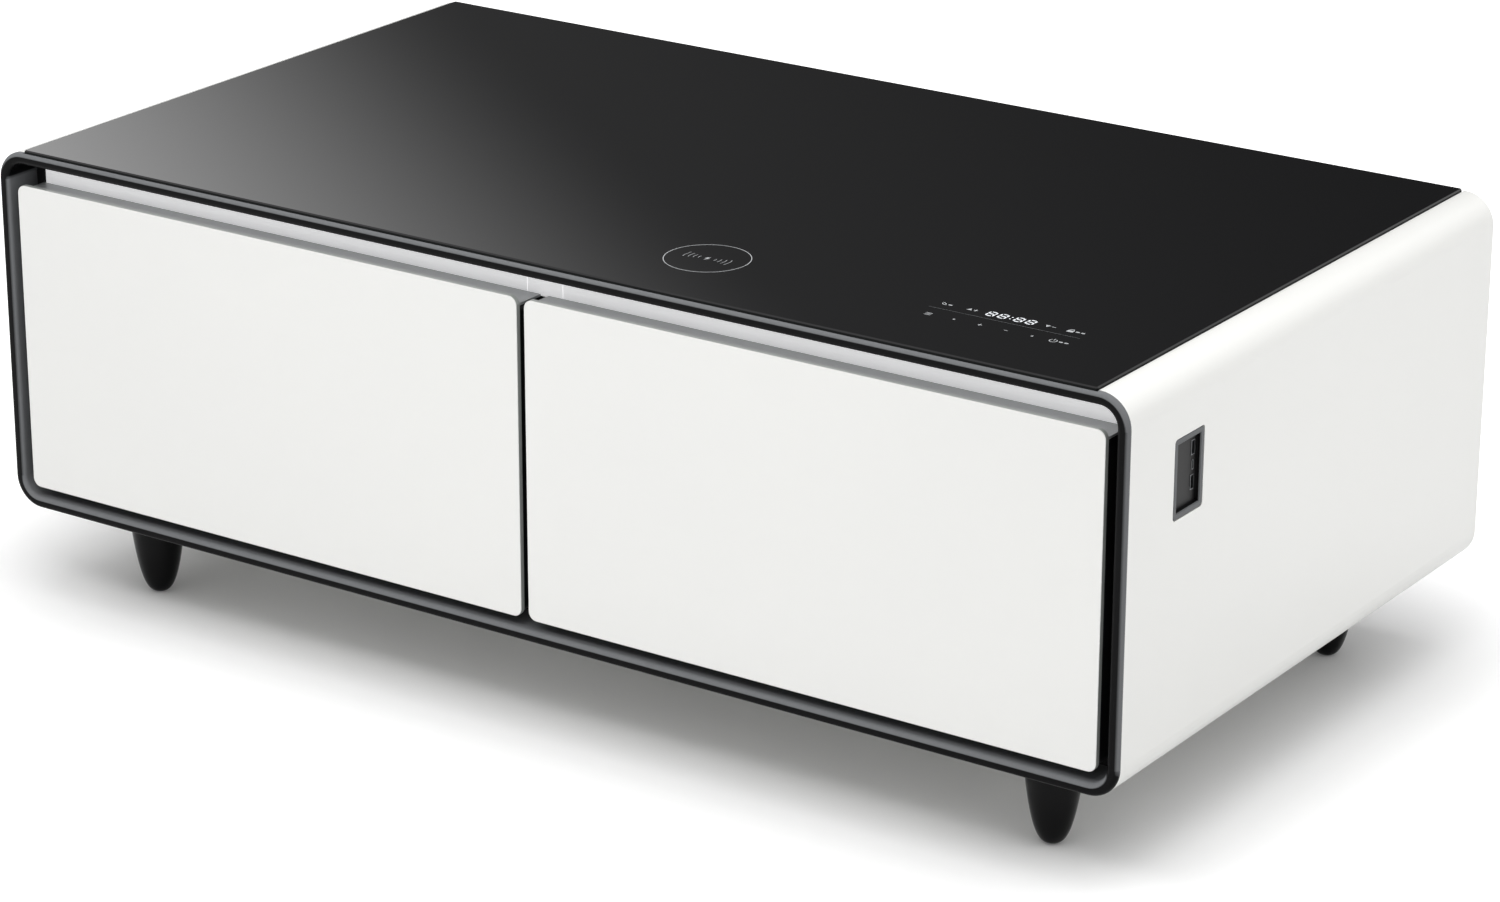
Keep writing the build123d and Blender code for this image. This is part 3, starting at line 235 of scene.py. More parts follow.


# Bezel moulding of satin black ABS: its upward faces carry a painted highlight, a pale grey standing in for
# the light they catch; the rest is near black
def bezelWithPaintedHighlight():
    material, tree, shader, place = newMaterial("satin black ABS with painted highlight", {
        "Roughness": 0.35, "Specular IOR Level": 0.06,
    })
    normal = addNode(tree, "ShaderNodeNewGeometry").outputs["Normal"]
    upward = addNode(tree, "ShaderNodeVectorMath", {"operation": "DOT_PRODUCT", 1: (0.22, 0, 1)},
                     {0: normal})
    # Painted highlight: faces turned upward get the pale grey
    paintedHighlightMask = addNode(tree, "ShaderNodeMapRange", {1: 0.03, 2: 0.16, 3: 0.0, 4: 1.0},
                  {0: upward.outputs["Value"]})
    speckle = addNode(tree, "ShaderNodeTexNoise", {"Scale": 1000 / 0.6, "Detail": 2.0}, {"Vector": place})
    paintedHighlightGrey = addNode(tree, "ShaderNodeMix", {"data_type": "RGBA", 6: linear("#6c6d6f"), 7: linear("#787a7c")},
                   {0: speckle.outputs["Fac"]})
    tint = addNode(tree, "ShaderNodeMix", {"data_type": "RGBA", 6: linear("#060607")},
                   {0: paintedHighlightMask.outputs["Result"], 7: paintedHighlightGrey.outputs[2]})
    bump = addNode(tree, "ShaderNodeBump", {"Strength": 0.04, "Distance": 0.1 * mm},
                   {"Height": speckle.outputs["Fac"]})
    feed(tree, shader, {"Base Color": tint.outputs[2], "Normal": bump.outputs["Normal"]})
    return material


# Brushed metal: fine lines drawn along one axis, so highlights spread across them
def brushedMetal(name, hexColour, roughness, along=(1, 0, 0), line=0.25, metallic=1.0, glow=0.0):
    # glow sets a painted glow in the metal's own colour, light of its own though it is no lamp
    material, tree, shader, place = newMaterial(name, {"Metallic": metallic, "Emission Strength": glow})
    stretch = [1 / (line * mm) if not a else 1 / (60 * mm) for a in along]
    scaled = addNode(tree, "ShaderNodeMapping", {"Scale": stretch}, {"Vector": place})
    brush = addNode(tree, "ShaderNodeTexNoise", {"Scale": 1.0, "Detail": 3.0},
                    {"Vector": scaled.outputs[0]})
    shade = addNode(tree, "ShaderNodeHueSaturation", {"Color": linear(hexColour)})
    value = addNode(tree, "ShaderNodeMapRange", {3: 0.86, 4: 1.14}, {0: brush.outputs["Fac"]})
    gloss = addNode(tree, "ShaderNodeMapRange", {3: roughness - 0.07, 4: roughness + 0.07},
                    {0: brush.outputs["Fac"]})
    bump = addNode(tree, "ShaderNodeBump", {"Strength": 0.08, "Distance": 0.05 * mm},
                   {"Height": brush.outputs["Fac"]})
    tree.links.new(value.outputs["Result"], shade.inputs["Value"])
    feed(tree, shader, {
        "Base Color": shade.outputs["Color"],
        "Emission Color": shade.outputs["Color"],
        "Roughness": gloss.outputs["Result"],
        "Normal": bump.outputs["Normal"],
    })
    return material


socket = {"border": 6.1 * mm}      # width of the frame's grey border


# Lacquered socket frame: a grey border round a black pan, told apart by distance from the middle
def socketLacquer():
    material, tree, shader, place = newMaterial("dark grey lacquer",
                                                {"Roughness": 0.42, "Specular IOR Level": 0.15})
    low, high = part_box("socket_frame")
    middle = (low + high) / 2
    centred = addNode(tree, "ShaderNodeVectorMath", {"operation": "SUBTRACT", 1: tuple(middle)}, {0: place})
    away = addNode(tree, "ShaderNodeVectorMath", {"operation": "ABSOLUTE"}, {0: centred.outputs[0]})
    axes = addNode(tree, "ShaderNodeSeparateXYZ", None, {0: away.outputs[0]})
    border = socket["border"]
    across = addNode(tree, "ShaderNodeMath", {"operation": "LESS_THAN", 1: (high.y - low.y) / 2 - border},
                     {0: axes.outputs["Y"]})
    upward = addNode(tree, "ShaderNodeMath", {"operation": "LESS_THAN", 1: (high.z - low.z) / 2 - border},
                     {0: axes.outputs["Z"]})
    inside = addNode(tree, "ShaderNodeMath", {"operation": "MULTIPLY"},
                     {0: across.outputs[0], 1: upward.outputs[0]})
    speck = addNode(tree, "ShaderNodeTexNoise", {"Scale": 1000 / 0.5, "Detail": 2.0}, {"Vector": place})
    grey = addNode(tree, "ShaderNodeMix", {"data_type": "RGBA", 6: linear("#585a5c"), 7: linear("#646668")},
                   {0: speck.outputs["Fac"]})
    tint = addNode(tree, "ShaderNodeMix", {"data_type": "RGBA", 7: linear("#09090a")},
                   {0: inside.outputs[0], 6: grey.outputs[2]})
    bump = addNode(tree, "ShaderNodeBump", {"Strength": 0.06, "Distance": 0.1 * mm},
                   {"Height": speck.outputs["Fac"]})
    feed(tree, shader, {"Base Color": tint.outputs[2], "Normal": bump.outputs["Normal"]})
    return material


# Galvanised sheet: overlapping crystals of zinc, each with its own grey
def galvanisedSheet():
    material, tree, shader, place = newMaterial("galvanised sheet", {"Metallic": 1.0})
    crystal = addNode(tree, "ShaderNodeTexVoronoi", {"Scale": 1000 / 9}, {"Vector": place})
    tint = addNode(tree, "ShaderNodeMix", {"data_type": "RGBA", 6: linear("#9a9da0"), 7: linear("#b9bcbe")},
                   {0: crystal.outputs["Color"]})
    gloss = addNode(tree, "ShaderNodeMapRange", {3: 0.32, 4: 0.5}, {0: crystal.outputs["Color"]})
    feed(tree, shader, {"Base Color": tint.outputs[2], "Roughness": gloss.outputs["Result"]})
    return material


# Rigid polyurethane foam: cream, with the open cells of a cut face
def rigidFoam():
    material, tree, shader, place = newMaterial("rigid foam", {"Roughness": 0.9})
    cell = addNode(tree, "ShaderNodeTexVoronoi", {"Scale": 1000 / 1.5}, {"Vector": place})
    tint = addNode(tree, "ShaderNodeMix", {"data_type": "RGBA", 6: linear("#b89f62"), 7: linear("#e6d6a0")},
                   {0: cell.outputs["Distance"]})
    bump = addNode(tree, "ShaderNodeBump", {"Strength": 0.4, "Distance": 0.4 * mm},
                   {"Height": cell.outputs["Distance"]})
    feed(tree, shader, {"Base Color": tint.outputs[2], "Normal": bump.outputs["Normal"]})
    return material


# Soft PVC or rubber: dull, with a bloom that lightens it in patches
def softRubber(name, hexColour, bloomColour):
    material, tree, shader, place = newMaterial(name, {"Roughness": 0.68, "Specular IOR Level": 0.35})
    bloom = addNode(tree, "ShaderNodeTexNoise", {"Scale": 1000 / 14, "Detail": 5.0}, {"Vector": place})
    tint = addNode(tree, "ShaderNodeMix",
                   {"data_type": "RGBA", 6: linear(hexColour), 7: linear(bloomColour)},
                   {0: bloom.outputs["Fac"]})
    bump = addNode(tree, "ShaderNodeBump", {"Strength": 0.15, "Distance": 0.1 * mm},
                   {"Height": bloom.outputs["Fac"]})
    feed(tree, shader, {"Base Color": tint.outputs[2], "Normal": bump.outputs["Normal"]})
    return material


# Drawn copper tube: warm metal with patches of brown tarnish
def drawnCopper():
    material, tree, shader, place = newMaterial("drawn copper", {"Metallic": 1.0})
    tarnish = addNode(tree, "ShaderNodeTexNoise", {"Scale": 1000 / 18, "Detail": 6.0}, {"Vector": place})
    tint = addNode(tree, "ShaderNodeMix", {"data_type": "RGBA", 6: linear("#c77b52"), 7: linear("#8a5236")},
                   {0: tarnish.outputs["Fac"]})
    gloss = addNode(tree, "ShaderNodeMapRange", {3: 0.2, 4: 0.5}, {0: tarnish.outputs["Fac"]})
    feed(tree, shader, {"Base Color": tint.outputs[2], "Roughness": gloss.outputs["Result"]})
    return material


# Clear polystyrene of the tubs: faintly blue, with flow lines from the gate
def clearPolystyrene():
    material, tree, shader, place = newMaterial("clear polystyrene", {
        "Transmission Weight": 0.55, "IOR": 1.56, "Roughness": 0.12,
    })
    flow = addNode(tree, "ShaderNodeTexNoise", {"Scale": 1000 / 90, "Detail": 3.0, "Distortion": 1.5},
                   {"Vector": place})
    tint = addNode(tree, "ShaderNodeMix", {"data_type": "RGBA", 6: linear("#e4eef0"), 7: linear("#d3e2e6")},
                   {0: flow.outputs["Fac"]})
    bump = addNode(tree, "ShaderNodeBump", {"Strength": 0.05, "Distance": 0.3 * mm},
                   {"Height": flow.outputs["Fac"]})
    feed(tree, shader, {"Base Color": tint.outputs[2], "Normal": bump.outputs["Normal"]})
    return material


# Fibreglass circuit board: green solder mask over woven cloth
def circuitBoard():
    material, tree, shader, place = newMaterial("circuit board", {"Roughness": 0.35, "Coat Weight": 0.4})
    weave = addNode(tree, "ShaderNodeTexChecker", {
        "Scale": 1000 / 1.2, "Color1": linear("#0f4a26"), "Color2": linear("#145a2f"),
    }, {"Vector": place})
    feed(tree, shader, {"Base Color": weave.outputs["Color"]})
    return material


# Screen-printed ceramic ink: grey, a little uneven where it took
def printedInk(name, thin, full):
    material, tree, shader, place = newMaterial(name, {"Roughness": 0.4, "Specular IOR Level": 0.2})
    grain = addNode(tree, "ShaderNodeTexNoise", {"Scale": 1000 / 0.6, "Detail": 2.0}, {"Vector": place})
    tint = addNode(tree, "ShaderNodeMix", {"data_type": "RGBA", 6: linear(thin), 7: linear(full)},
                   {0: grain.outputs["Fac"]})
    feed(tree, shader, {"Base Color": tint.outputs[2]})
    return material


# Display segments: white light under the glass, slightly uneven along each bar
def litSegments():
    material, tree, shader, place = newMaterial("lit segments",
                                                {"Roughness": 0.5, "Emission Strength": 0.55})
    grain = addNode(tree, "ShaderNodeTexNoise", {"Scale": 1000 / 2, "Detail": 2.0}, {"Vector": place})
    tint = addNode(tree, "ShaderNodeMix", {"data_type": "RGBA", 6: linear("#c9cdd2"), 7: linear("#eef0f3")},
                   {0: grain.outputs["Fac"]})
    feed(tree, shader, {"Base Color": tint.outputs[2], "Emission Color": tint.outputs[2]})
    return material


enamel = enamelledSteel()
whiteGlass = backPaintedGlass()
darkGlass = blackGlass()
bezelAbsPaintedHighlight = bezelWithPaintedHighlight()
frameAbs = mouldedAbs("matt black ABS", "#070708", 0.5, specular=0.25)
doorAbs = mouldedAbs("door shell ABS", "#121213", 0.45, specular=0.35)
footAbs = mouldedAbs("gloss black ABS", "#050506", 0.2, grain=1.5, strength=0.02, specular=0.12)
linerPolystyrene = mouldedAbs("white liner polystyrene", "#eef0f1", 0.28, grain=2.0, strength=0.04)
diffuserAcrylic = mouldedAbs("opal acrylic", "#f6f8fa", 0.4, grain=1.0, strength=0.02)
greyPowderCoat = mouldedAbs("grey powder coat", "#8d8f91", 0.5, grain=0.8, strength=0.25)
socketPaint = socketLacquer()
blackPowderCoat = mouldedAbs("black powder coat", "#141416", 0.45, grain=0.9, strength=0.3)
trayPlastic = mouldedAbs("charcoal nylon", "#2a2b2d", 0.6)
# The strip sits in a recess, so a painted glow, a little light of its own though it is no lamp, keeps it
# silver there
glowingAluminium = brushedMetal("silver-lacquered aluminium with painted glow", "#fbfbfc", 0.42, metallic=0.15, glow=0.4)
greyAluminium = brushedMetal("anodised aluminium", "#b2b4b5", 0.42, metallic=0.4)
rolledAluminium = brushedMetal("rolled aluminium", "#c9cbcd", 0.35, along=(0, 0, 1), line=0.5)
zincSteel = brushedMetal("zinc-plated steel", "#b4b7ba", 0.34, along=(0, 1, 0), line=0.4)
turnedSteel = brushedMetal("turned steel", "#b9bbbd", 0.26, along=(0, 1, 0), line=0.3)
portSteel = brushedMetal("nickel-plated steel", "#77797b", 0.35, along=(1, 0, 0), line=0.2)
spangled = galvanisedSheet()
foam = rigidFoam()
greyRubber = softRubber("grey magnetic gasket", "#6d6f71", "#7d7f81")
blackRubber = softRubber("black rubber", "#141415", "#232324")
copper = drawnCopper()
clearTub = clearPolystyrene()
boardGreen = circuitBoard()
ink = printedInk("printed ink", "#a8aaac", "#cacccf")
faintInk = printedInk("faint printed ink", "#626466", "#747678")
litWhite = litSegments()

finishes = {
    "outer_shell": enamel, "top_deck": spangled, "glass_top": darkGlass, "glass_bonding_tape": blackRubber,
    "front_bezel": bezelAbsPaintedHighlight, "front_frame": frameAbs, "fascia_left": glowingAluminium,
    "fascia_centre": glowingAluminium, "fascia_right": glowingAluminium, "insulation_foam": foam,
    "machine_bulkhead": spangled, "evaporator_plates": rolledAluminium, "led_strips": diffuserAcrylic,
    "runner_outers": zincSteel, "foot_studs": turnedSteel, "foot_plates": spangled,
    "socket_frame": socketPaint, "socket_box": frameAbs, "usb_ports": portSteel,
    "charging_tray": trayPlastic, "charging_coil": copper, "touch_board": boardGreen,
    "back_panel": greyPowderCoat, "back_panel_screws": turnedSteel, "power_inlet": frameAbs,
    "compressor_base": spangled, "compressor_grommets": blackRubber, "compressor": blackPowderCoat,
    "fan_shroud": trayPlastic, "fan_motor": frameAbs, "fan_rotor": doorAbs, "condenser": rolledAluminium,
    "filter_drier": copper, "refrigerant_pipes": copper, "control_box": trayPlastic,
    "wiring_harness": blackRubber,
}
for corner in ("front_left", "front_right", "rear_left", "rear_right"):
    finishes[f"foot_{corner}"] = footAbs
for side in sides:
    finishes.update({
        f"liner_{side}": linerPolystyrene, f"front_panel_{side}": whiteGlass, f"door_shell_{side}": doorAbs,
        f"door_foam_{side}": foam, f"pull_ledge_{side}": greyAluminium, f"gasket_{side}": greyRubber,
        f"tub_{side}": clearTub, f"tub_screws_{side}": turnedSteel, f"runner_inner_{side}": zincSteel,
        f"runner_middle_{side}": zincSteel,
    })
for nodeName, material in finishes.items():
    paint(nodeName, material)

print("glass top and its marks")
glass = {
    "corner": 2.5 * mm,
    "arris": 1.2 * mm,       # bevel ground along the top and bottom of the edge
    "sink": 0.05 * mm,       # the face lies this far under the marks
}


# Ground and blackened edge of the slab: matt, so it stays dark beside the polished face
def groundEdge():
    material, tree, shader, place = newMaterial("ground glass edge",
                                                {"Roughness": 0.6, "Specular IOR Level": 0.12})
    grit = addNode(tree, "ShaderNodeTexNoise", {"Scale": 1000 / 0.4, "Detail": 2.0}, {"Vector": place})
    tint = addNode(tree, "ShaderNodeMix", {"data_type": "RGBA", 6: linear("#020303"), 7: linear("#060808")},
                   {0: grit.outputs["Fac"]})
    feed(tree, shader, {"Base Color": tint.outputs[2]})
    return material


# Slab: a profile of arris, edge and arris carried round a rounded rectangle, capped above and below
def glassSlab():
    low, high = glassBox
    centre = (low + high) / 2
    width, length = high.x - low.x, high.y - low.y
    top, arris = high.z - glass["sink"], glass["arris"]
    inset = np.array([arris, 0, 0, 0, 0, arris, arris])
    height = np.array([low.z, low.z + arris, low.z + arris, top - arris, top - arris, top, top])
    rings = []
    for push, z in zip(inset, height):
        loop = roundedLoop(width - 2 * push, length - 2 * push, glass["corner"] - push)
        rings.append(np.column_stack([loop + [centre.x, centre.y], np.full(len(loop), z)]))
    perRing = len(rings[0])
    bands = [(0, 1), (2, 3), (4, 5)]    # each band has rings of its own, so its edges stay crisp
    walls = gridFaces(2, perRing, closeColumns=True)
    faces = []
    for below, above in bands:
        lower, upper = walls % perRing + below * perRing, walls % perRing + above * perRing
        faces += np.where(walls < perRing, lower, upper).tolist()
    faces.append(list(range(perRing))[::-1])
    faces.append([6 * perRing + i for i in range(perRing)])
    slab = newPiece("glassTop", np.concatenate(rings), faces, "cabinet", darkGlass)
    slab.data.materials.append(groundEdge())
    edgeBand = np.zeros(len(faces), int)
    edgeBand[perRing:2 * perRing] = 1
    slab.data.polygons.foreach_set("material_index", edgeBand)
    flatCaps(slab)
    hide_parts("glass_top")
    return slab


glassSlab()

markLevel = glassBox[1].z
frontEdge = cadBox[0].y
marks = {
    "ringX": 140 * mm, "ringInset": 105 * mm, "ringRadius": 41 * mm, "ringLine": 0.8 * mm,
    "panelX": 460.5 * mm, "lineInset": 104.6 * mm, "lineLength": 157 * mm, "lineWidth": 0.42 * mm,
    "upperInset": 118 * mm, "lowerInset": 86.5 * mm, "pitch": 27 * mm,
    "digitHeight": 10.5 * mm, "digitWidth": 7.2 * mm, "digitPitch": 12 * mm,
    "barWidth": 1.5 * mm, "slant": 0.04, "stroke": 0.65 * mm, "iconScale": 1.35,
    "waveRadii": (9, 14, 19, 24), "waveTurn": 17, "waveLine": 0.55,   # mm, but the turn in degrees
    "digitPlaces": (-1.7, -0.7, 0.7, 1.7),
}


# Flat outlines laid in the glass: each is a list of points in millimetres about one centre
def flatMark(name, centre, outlines, material):
    vertices, faces = [], []
    for outline in outlines:
        start = len(vertices)
        points = np.asarray(outline, float) * mm
        vertices += [(centre[0] + x, centre[1] + y, markLevel) for x, y in points]
        area = np.sum(points[:, 0] * np.roll(points[:, 1], -1) - np.roll(points[:, 0], -1) * points[:, 1])
        order = list(range(start, start + len(points)))
        faces.append(order if area > 0 else order[::-1])
    return newPiece(name, vertices, faces, "cabinet", material, smooth=False)


# Points on an arc, from one angle to another, in degrees
def arc(radius, start, end, count, cx=0.0, cy=0.0):
    turn = np.radians(np.linspace(start, end, count))
    return np.stack([cx + radius * np.cos(turn), cy + radius * np.sin(turn)], 1)


# A stroke of even width along an open line, cut into one four-sided outline for each run
def stroke(points, width):
    points = np.asarray(points, float)
    step = np.diff(points, axis=0)
    step /= np.linalg.norm(step, axis=1)[:, None]
    side = np.stack([-step[:, 1], step[:, 0]], 1) * width / 2
    joint = np.concatenate([side[:1], (side[:-1] + side[1:]) / 2, side[-1:]])
    left, right = points + joint, points - joint
    return [[left[i], left[i + 1], right[i + 1], right[i]] for i in range(len(points) - 1)]


# Seven bars of one digit, each a long hexagon leaning with the digit
def digitBars(cx):
    w, h = marks["digitWidth"] / mm, marks["digitHeight"] / mm
    t = marks["barWidth"] / mm
    level = {"a": h / 2, "g": 0, "d": -h / 2}
    upright = {"b": (w / 2, h / 4), "c": (w / 2, -h / 4), "e": (-w / 2, -h / 4), "f": (-w / 2, h / 4)}
    outlines = []
    for bar in "abcdefg":
        if bar in level:
            span, y, x = w / 2 - t * 0.65, level[bar], 0
            shape = [(-span, 0), (-span + t / 2, t / 2), (span - t / 2, t / 2), (span, 0),
                     (span - t / 2, -t / 2), (-span + t / 2, -t / 2)]
        else:
            x, y = upright[bar]
            span = h / 4 - t * 0.2
            shape = [(0, span), (t / 2, span - t / 2), (t / 2, -span + t / 2), (0, -span),
                     (-t / 2, -span + t / 2), (-t / 2, span - t / 2)]
        outlines.append([(cx + x + a + marks["slant"] * (y + b), y + b) for a, b in shape])
    return outlines


ringCentre = (marks["ringX"], frontEdge + marks["ringInset"])
ring = stroke(arc(marks["ringRadius"] / mm, 0, 360, 97), marks["ringLine"] / mm)
flatMark("chargingRing", ringCentre, ring, ink)
waves = [
    run
    for radius in marks["waveRadii"]
    for way in (0, 180)
    for run in stroke(arc(radius, way - marks["waveTurn"], way + marks["waveTurn"], 9), marks["waveLine"])
]
bolt = [[(1.1, 5.2), (-2.9, -0.7), (0.1, -0.1)], [(-1.1, -5.2), (2.9, 0.7), (-0.1, 0.1)]]
flatMark("chargingIcon", ringCentre, waves + bolt, ink)

lineY = frontEdge + marks["lineInset"]
half = marks["lineLength"] / mm / 2
controlLine = stroke([(-half, 0), (half, 0)], marks["lineWidth"] / mm)
flatMark("controlLine", (marks["panelX"], lineY), controlLine, faintInk)

upperY, lowerY = frontEdge + marks["upperInset"], frontEdge + marks["lowerInset"]
pitch = marks["digitPitch"] / mm
digits = [bar for place in marks["digitPlaces"] for bar in digitBars(place * pitch)]
colon = [arc(0.9, 0, 330, 12, cx=marks["slant"] * y, cy=y) for y in (-2.4, 2.4)]
flatMark("displayDigits", (marks["panelX"], upperY), digits + colon, litWhite)

thick = marks["stroke"] / mm


# Plain bars in a row beside an icon, from x on
def levelBars(x, count):
    return [stroke([(x + 4 * i, 0), (x + 4 * i + 2.8, 0)], 1.6)[0] for i in range(count)]


# A plus sign, cut so that its two strokes don't overlap
def plusSign(x):
    return (stroke([(x - 1.6, 0), (x + 1.6, 0)], thick) + stroke([(x, -1.8), (x, -thick / 2)], thick)
            + stroke([(x, thick / 2), (x, 1.8)], thick))


leaf = np.concatenate([arc(4, 205, 275, 9, -0.4, 2.6), arc(4, 25, 95, 9, -4.4, -1.6)])
shackle = np.concatenate([[(-5.9, 0.8)], arc(1.5, 180, 0, 13, -4.4, 1.6), [(-2.9, 0.8)]])
body = [(-6.8, -2.4), (-2, -2.4), (-2, 0.8), (-6.8, 0.8)]
dot = [arc(0.9, 0, 330, 12)]
icons = {
    "iconLeaf": (0, upperY, stroke(leaf, thick) + levelBars(1.4, 1)),
    "iconWarmer": (1, upperY, [[(-4, -1.4), (0, -1.4), (-2, 2.2)]] + plusSign(2.6)),
    "iconCooler": (4, upperY, [[(-4, 1.4), (-2, -2.2), (0, 1.4)]] + stroke([(1, 0), (4.2, 0)], thick)),
    "iconLock": (5, upperY, [body] + stroke(shackle, thick) + levelBars(-0.6, 2)),
    "iconMode": (0, lowerY, [stroke([(-2.4, y), (2.4, y)], thick)[0] for y in (-1.8, 0, 1.8)]),
    "iconDot": (1, lowerY, dot),
    "iconPlus": (2, lowerY, plusSign(0)),
    "iconMinus": (3, lowerY, stroke([(-1.4, 0), (1.4, 0)], thick)),
    "iconDotRight": (4, lowerY, dot),
    "iconPower": (5, lowerY, stroke(arc(2.6, 125, 415, 29, -4), thick)
                  + stroke([(-4, 0.6), (-4, 3.6)], thick) + levelBars(0.4, 2)),
}
for name, (column, y, outlines) in icons.items():
    x = marks["panelX"] + (column - 2.5) * marks["pitch"]
    flatMark(name, (x, y), [np.asarray(o) * marks["iconScale"] for o in outlines], ink)

print("feet")
feet = {
    "topRadius": 30.4 * mm,
    "power": 0.31,
    "rings": 30, "columns": 56,
    "tipShare": 0.02,          # how near the tip the first ring lies
}


# Turned foot: its radius is the top radius times a power of the share of the height
def turnedFoot(name, node):
    low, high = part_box(node)
    centre = (low + high) / 2
    share = np.linspace(feet["tipShare"], 1, feet["rings"]) ** 2.5
    radius = (feet["topRadius"] * share ** feet["power"])[:, None]
    height = low.z + (high.z - low.z) * (share - share[0]) / (1 - share[0])
    turn = np.linspace(0, 2 * math.pi, feet["columns"], endpoint=False)
    points = np.stack([
        centre.x + radius * np.cos(turn), centre.y + radius * np.sin(turn),
        np.repeat(height[:, None], feet["columns"], 1),
    ], 2).reshape(-1, 3)
    faces = gridFaces(feet["rings"], feet["columns"], closeColumns=True).tolist()
    rim = len(points) - feet["columns"]
    faces += [list(range(feet["columns"]))[::-1], list(range(rim, len(points)))]
    foot = newPiece(name, points, faces, "cabinet", footAbs)
    flatCaps(foot)
    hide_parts(node)


for corner in ("front_left", "front_right", "rear_left", "rear_right"):
    turnedFoot("turnedFoot" + corner.title().replace("_", ""), f"foot_{corner}")

print("camera, floor and light")
camera = {
    "place": (2.4746, -3.5957, 1.8098),
    "azimuth": 34.33, "elevation": 20.44, "roll": 0.12,
    "lens": 111.38, "sensor": 36,
    "shiftUp": 0.0009,         # share of the picture's width
}


def makeCamera():
    data = bpy.data.cameras.new("camera")
    data.lens, data.sensor_width, data.shift_y = camera["lens"], camera["sensor"], camera["shiftUp"]
    data.clip_start, data.clip_end = 0.1, 100
    eye = bpy.data.objects.new("camera", data)
    bpy.context.scene.collection.objects.link(eye)
    a, e = math.radians(camera["azimuth"]), math.radians(camera["elevation"])
    ahead = Vector((-math.sin(a) * math.cos(e), math.cos(a) * math.cos(e), -math.sin(e)))
    right = Vector((math.cos(a), math.sin(a), 0))
    up = right.cross(ahead)
    turn = Matrix((right, up, -ahead)).transposed().to_4x4()
    eye.matrix_world = Matrix.Translation(camera["place"]) @ turn @ Matrix.Rotation(
        math.radians(camera["roll"]), 4, "Z")
    bpy.context.scene.camera = eye


makeCamera()

floorLook = {
    "size": 30.0,
    "colour": "#e6e6e6",
    # The white added is held low under the table, a painted shadow, and rises to full white away from it
    "liftInPaintedShadow": 0.01,          # white added under the table
    "liftFar": 1.0,            # and far from it
    "reachIn": 0.15,           # metres in from the table's outline where it starts to grow
    "fade": 0.62,              # metres over which it grows
}


# One where the background is looked at directly, in a mirror or through the tubs, else nought
def lookedAt(tree):
    path = addNode(tree, "ShaderNodeLightPath")
    seen = addNode(tree, "ShaderNodeMath", {"operation": "MAXIMUM"},
                   {0: path.outputs["Is Camera Ray"], 1: path.outputs["Is Glossy Ray"]})
    seen = addNode(tree, "ShaderNodeMath", {"operation": "MAXIMUM"},
                   {0: seen.outputs[0], 1: path.outputs["Is Transmission Ray"]})
    return seen.outputs[0]


# A flat four-cornered object of the stage
def stageSheet(name, corners):
    mesh = bpy.data.meshes.new(name)
    mesh.from_pydata([tuple(c) for c in corners], [], [(0, 1, 2, 3)])
    sheet = bpy.data.objects.new(name, mesh)
    bpy.context.scene.collection.objects.link(sheet)
    return sheet


# Pale floor: plain diffuse, with the background's own white added where it is looked at; that white is held
# low under and near the table, a painted shadow deepening the real one there, and grows to full white
# further out
def makeFloor():
    half = floorLook["size"] / 2
    floor = stageSheet("floor", [(-half, -half, 0), (half, -half, 0), (half, half, 0), (-half, half, 0)])
    material = bpy.data.materials.new("pale floor")
    tree = clearedTree(material)
    seen = lookedAt(tree)
    place = addNode(tree, "ShaderNodeTexCoord").outputs["Object"]
    fromMiddle = addNode(tree, "ShaderNodeVectorMath", {"operation": "ABSOLUTE"}, {0: place})
    outline = cadBox[1] - Vector((floorLook["reachIn"], floorLook["reachIn"], 0))
    beyond = addNode(tree, "ShaderNodeVectorMath",
                     {"operation": "SUBTRACT", 1: (outline.x, outline.y, 0)}, {0: fromMiddle.outputs[0]})
    beyond = addNode(tree, "ShaderNodeVectorMath", {"operation": "MAXIMUM", 1: (0, 0, 0)},
                     {0: beyond.outputs[0]})
    distance = addNode(tree, "ShaderNodeVectorMath", {"operation": "LENGTH"}, {0: beyond.outputs[0]})
    whiteLiftAndPaintedShadow = addNode(tree, "ShaderNodeMapRange", {
        "interpolation_type": "SMOOTHSTEP", 1: 0.0, 2: floorLook["fade"],
        3: floorLook["liftInPaintedShadow"], 4: floorLook["liftFar"],
    }, {0: distance.outputs["Value"]})
    amount = addNode(tree, "ShaderNodeMath", {"operation": "MULTIPLY"},
                     {0: seen, 1: whiteLiftAndPaintedShadow.outputs[0]})
    matt = addNode(tree, "ShaderNodeBsdfDiffuse", {"Color": linear(floorLook["colour"])})
    glow = addNode(tree, "ShaderNodeEmission", {"Color": (1, 1, 1, 1)}, {"Strength": amount.outputs[0]})
    both = addNode(tree, "ShaderNodeAddShader", None, {0: matt.outputs[0], 1: glow.outputs[0]})
    addNode(tree, "ShaderNodeOutputMaterial", None, {"Surface": both.outputs[0]})
    floor.data.materials.append(material)


makeFloor()

lights = {
    "worldGlow": 0.3,
    "lamps": {
        "keyOverhead": {"watts": 66, "place": (0.5, -0.9, 3.3), "aim": (0, 0, 0.3), "size": (3.0, 3.0)},
        "stripFront": {"watts": 14, "place": (-0.3, -1.5, 1.7), "aim": (-0.1, -0.35, 0.3),
                       "size": (3.2, 0.4)},
        "fillFront": {"watts": 30, "place": (-0.8, -4.5, 0.8), "aim": (0, 0, 0.3), "size": (3.5, 0.9)},
        "stripRight": {"watts": 13.5, "place": (1.9, 0.3, 1.7), "aim": (0.65, 0.1, 0.3),
                       "size": (0.4, 2.4)},
    },
}


